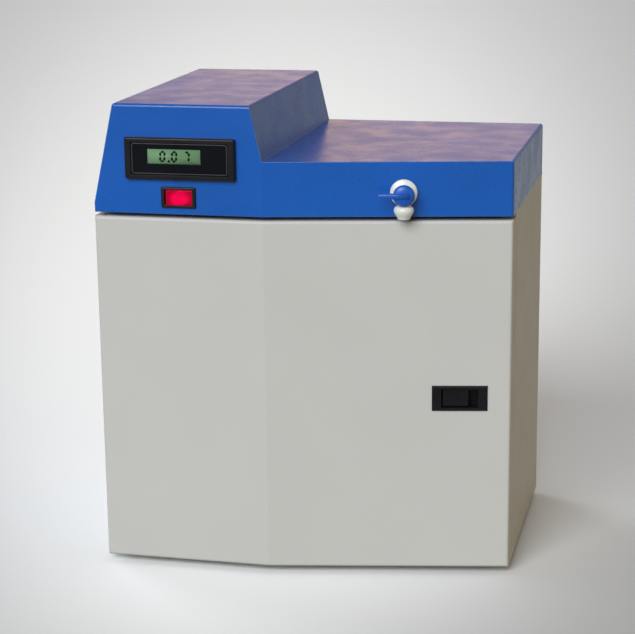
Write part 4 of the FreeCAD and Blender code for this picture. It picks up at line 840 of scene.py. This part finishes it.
def make_floor():
    """A wide matt floor, paler where it is seen, reflected or seen through than where it lights the part."""
    reach = FLOOR_REACH
    corners = [(-reach, -reach, 0), (reach, -reach, 0), (reach, reach, 0), (-reach, reach, 0)]
    data = bpy.data.meshes.new("floor")
    data.from_pydata(corners, [], [(0, 1, 2, 3)])
    floor = bpy.data.objects.new("floor", data)
    bpy.context.scene.collection.objects.link(floor)
    material = bpy.data.materials.new("floor_grey")
    material.use_nodes = True
    tree = material.node_tree
    tree.nodes.clear()
    output = tree.nodes.new("ShaderNodeOutputMaterial")
    seen = tree.nodes.new("ShaderNodeBsdfDiffuse")
    lighting = tree.nodes.new("ShaderNodeBsdfDiffuse")
    lighting.inputs["Color"].default_value = FLOOR_LIGHTING
    bright = maths(tree, "MULTIPLY", painted_light_fan(tree), FLOOR_BRIGHT)
    tone = tree.nodes.new("ShaderNodeCombineColor")
    for channel, share in zip(("Red", "Green", "Blue"), FLOOR_TINT):
        tree.links.new(maths(tree, "MULTIPLY", bright, share), tone.inputs[channel])
    tree.links.new(tone.outputs["Color"], seen.inputs["Color"])
    path = tree.nodes.new("ShaderNodeLightPath")
    straight = maths(tree, "MAXIMUM", path.outputs["Is Camera Ray"], path.outputs["Is Glossy Ray"])
    straight = maths(tree, "MAXIMUM", straight, path.outputs["Is Transmission Ray"])
    mix = tree.nodes.new("ShaderNodeMixShader")
    tree.links.new(straight, mix.inputs["Fac"])
    tree.links.new(lighting.outputs["BSDF"], mix.inputs[1])
    tree.links.new(seen.outputs["BSDF"], mix.inputs[2])
    tree.links.new(mix.outputs["Shader"], output.inputs["Surface"])
    data.materials.append(material)


# Light
LAMP_DISTANCE = 3


def soft_light(name, azimuth, elevation, softness, strength):
    """A broad lamp far off: the same over the whole floor, and as soft as its angle is wide."""
    turn, rise = math.radians(azimuth), math.radians(elevation)
    towards = Vector((math.sin(turn) * math.cos(rise), -math.cos(turn) * math.cos(rise), math.sin(rise)))
    light = bpy.data.lights.new(name, "SUN")
    light.energy = strength
    light.angle = math.radians(softness)
    holder = bpy.data.objects.new(name, light)
    holder.rotation_euler = towards.to_track_quat("Z", "Y").to_euler()
    holder.location = towards * LAMP_DISTANCE
    bpy.context.scene.collection.objects.link(holder)


ROOM_FRONT = (0.34, 0.34, 0.35)
ROOM_REAR = (0.36, 0.26, 0.22)
ROOM_PATCH = (2.00, 1.22, 0.68)
ROOM_FOOT = (0.42, 0.42, 0.42)
ROOM_RIGHT = (0.70, 0.46, 0.14)
ROOM_CEILING = (0.16, 0.16, 0.17)
PATCH_AZIMUTH = math.radians(-11.5)
PATCH_RISE = 0.05

# Where one part of the room fades into the next, as parts of a direction
PATCH_FADE = (0.975, 0.9995)
REAR_FADE = (0.15, 0.6)
RIGHT_FADE = (0.35, 0.8)
FOOT_FADE = (0.06, 0.13)
CEILING_FADE = (0.4, 0.75)


def make_room():
    """The room's own light.

    It is neutral in front and low down, warm behind and at the right, and dim at the ceiling.
    """
    world = bpy.data.worlds.new("room")
    world.use_nodes = True
    bpy.context.scene.world = world
    tree = world.node_tree
    background = tree.nodes["Background"]
    place = tree.nodes.new("ShaderNodeTexCoord")
    split = tree.nodes.new("ShaderNodeSeparateXYZ")
    tree.links.new(place.outputs["Generated"], split.inputs["Vector"])
    sideways, rearwards, upwards = split.outputs["X"], split.outputs["Y"], split.outputs["Z"]
    towards_patch = (math.sin(PATCH_AZIMUTH), math.cos(PATCH_AZIMUTH), PATCH_RISE)
    patch = dot(tree, place.outputs["Generated"], towards_patch)
    rear = blend_colours(tree, spread(tree, patch, 0, 1, *PATCH_FADE), ROOM_REAR, ROOM_PATCH)
    walls = blend_colours(tree, spread(tree, rearwards, 0, 1, *REAR_FADE), ROOM_FRONT, rear)
    walls = blend_colours(tree, spread(tree, sideways, 0, 1, *RIGHT_FADE), walls, ROOM_RIGHT)
    walls = blend_colours(tree, spread(tree, upwards, 0, 1, *FOOT_FADE), ROOM_FOOT, walls)
    room = blend_colours(tree, spread(tree, upwards, 0, 1, *CEILING_FADE), walls, ROOM_CEILING)
    tree.links.new(room, background.inputs["Color"])
    background.inputs["Strength"].default_value = 1.0


place_camera()
make_floor()
make_room()
soft_light("front_soft", azimuth=-10, elevation=31, softness=38, strength=2.6)
soft_light("back_soft", azimuth=235, elevation=18, softness=30, strength=1.2)

bpy.context.scene.view_settings.view_transform = "Standard"
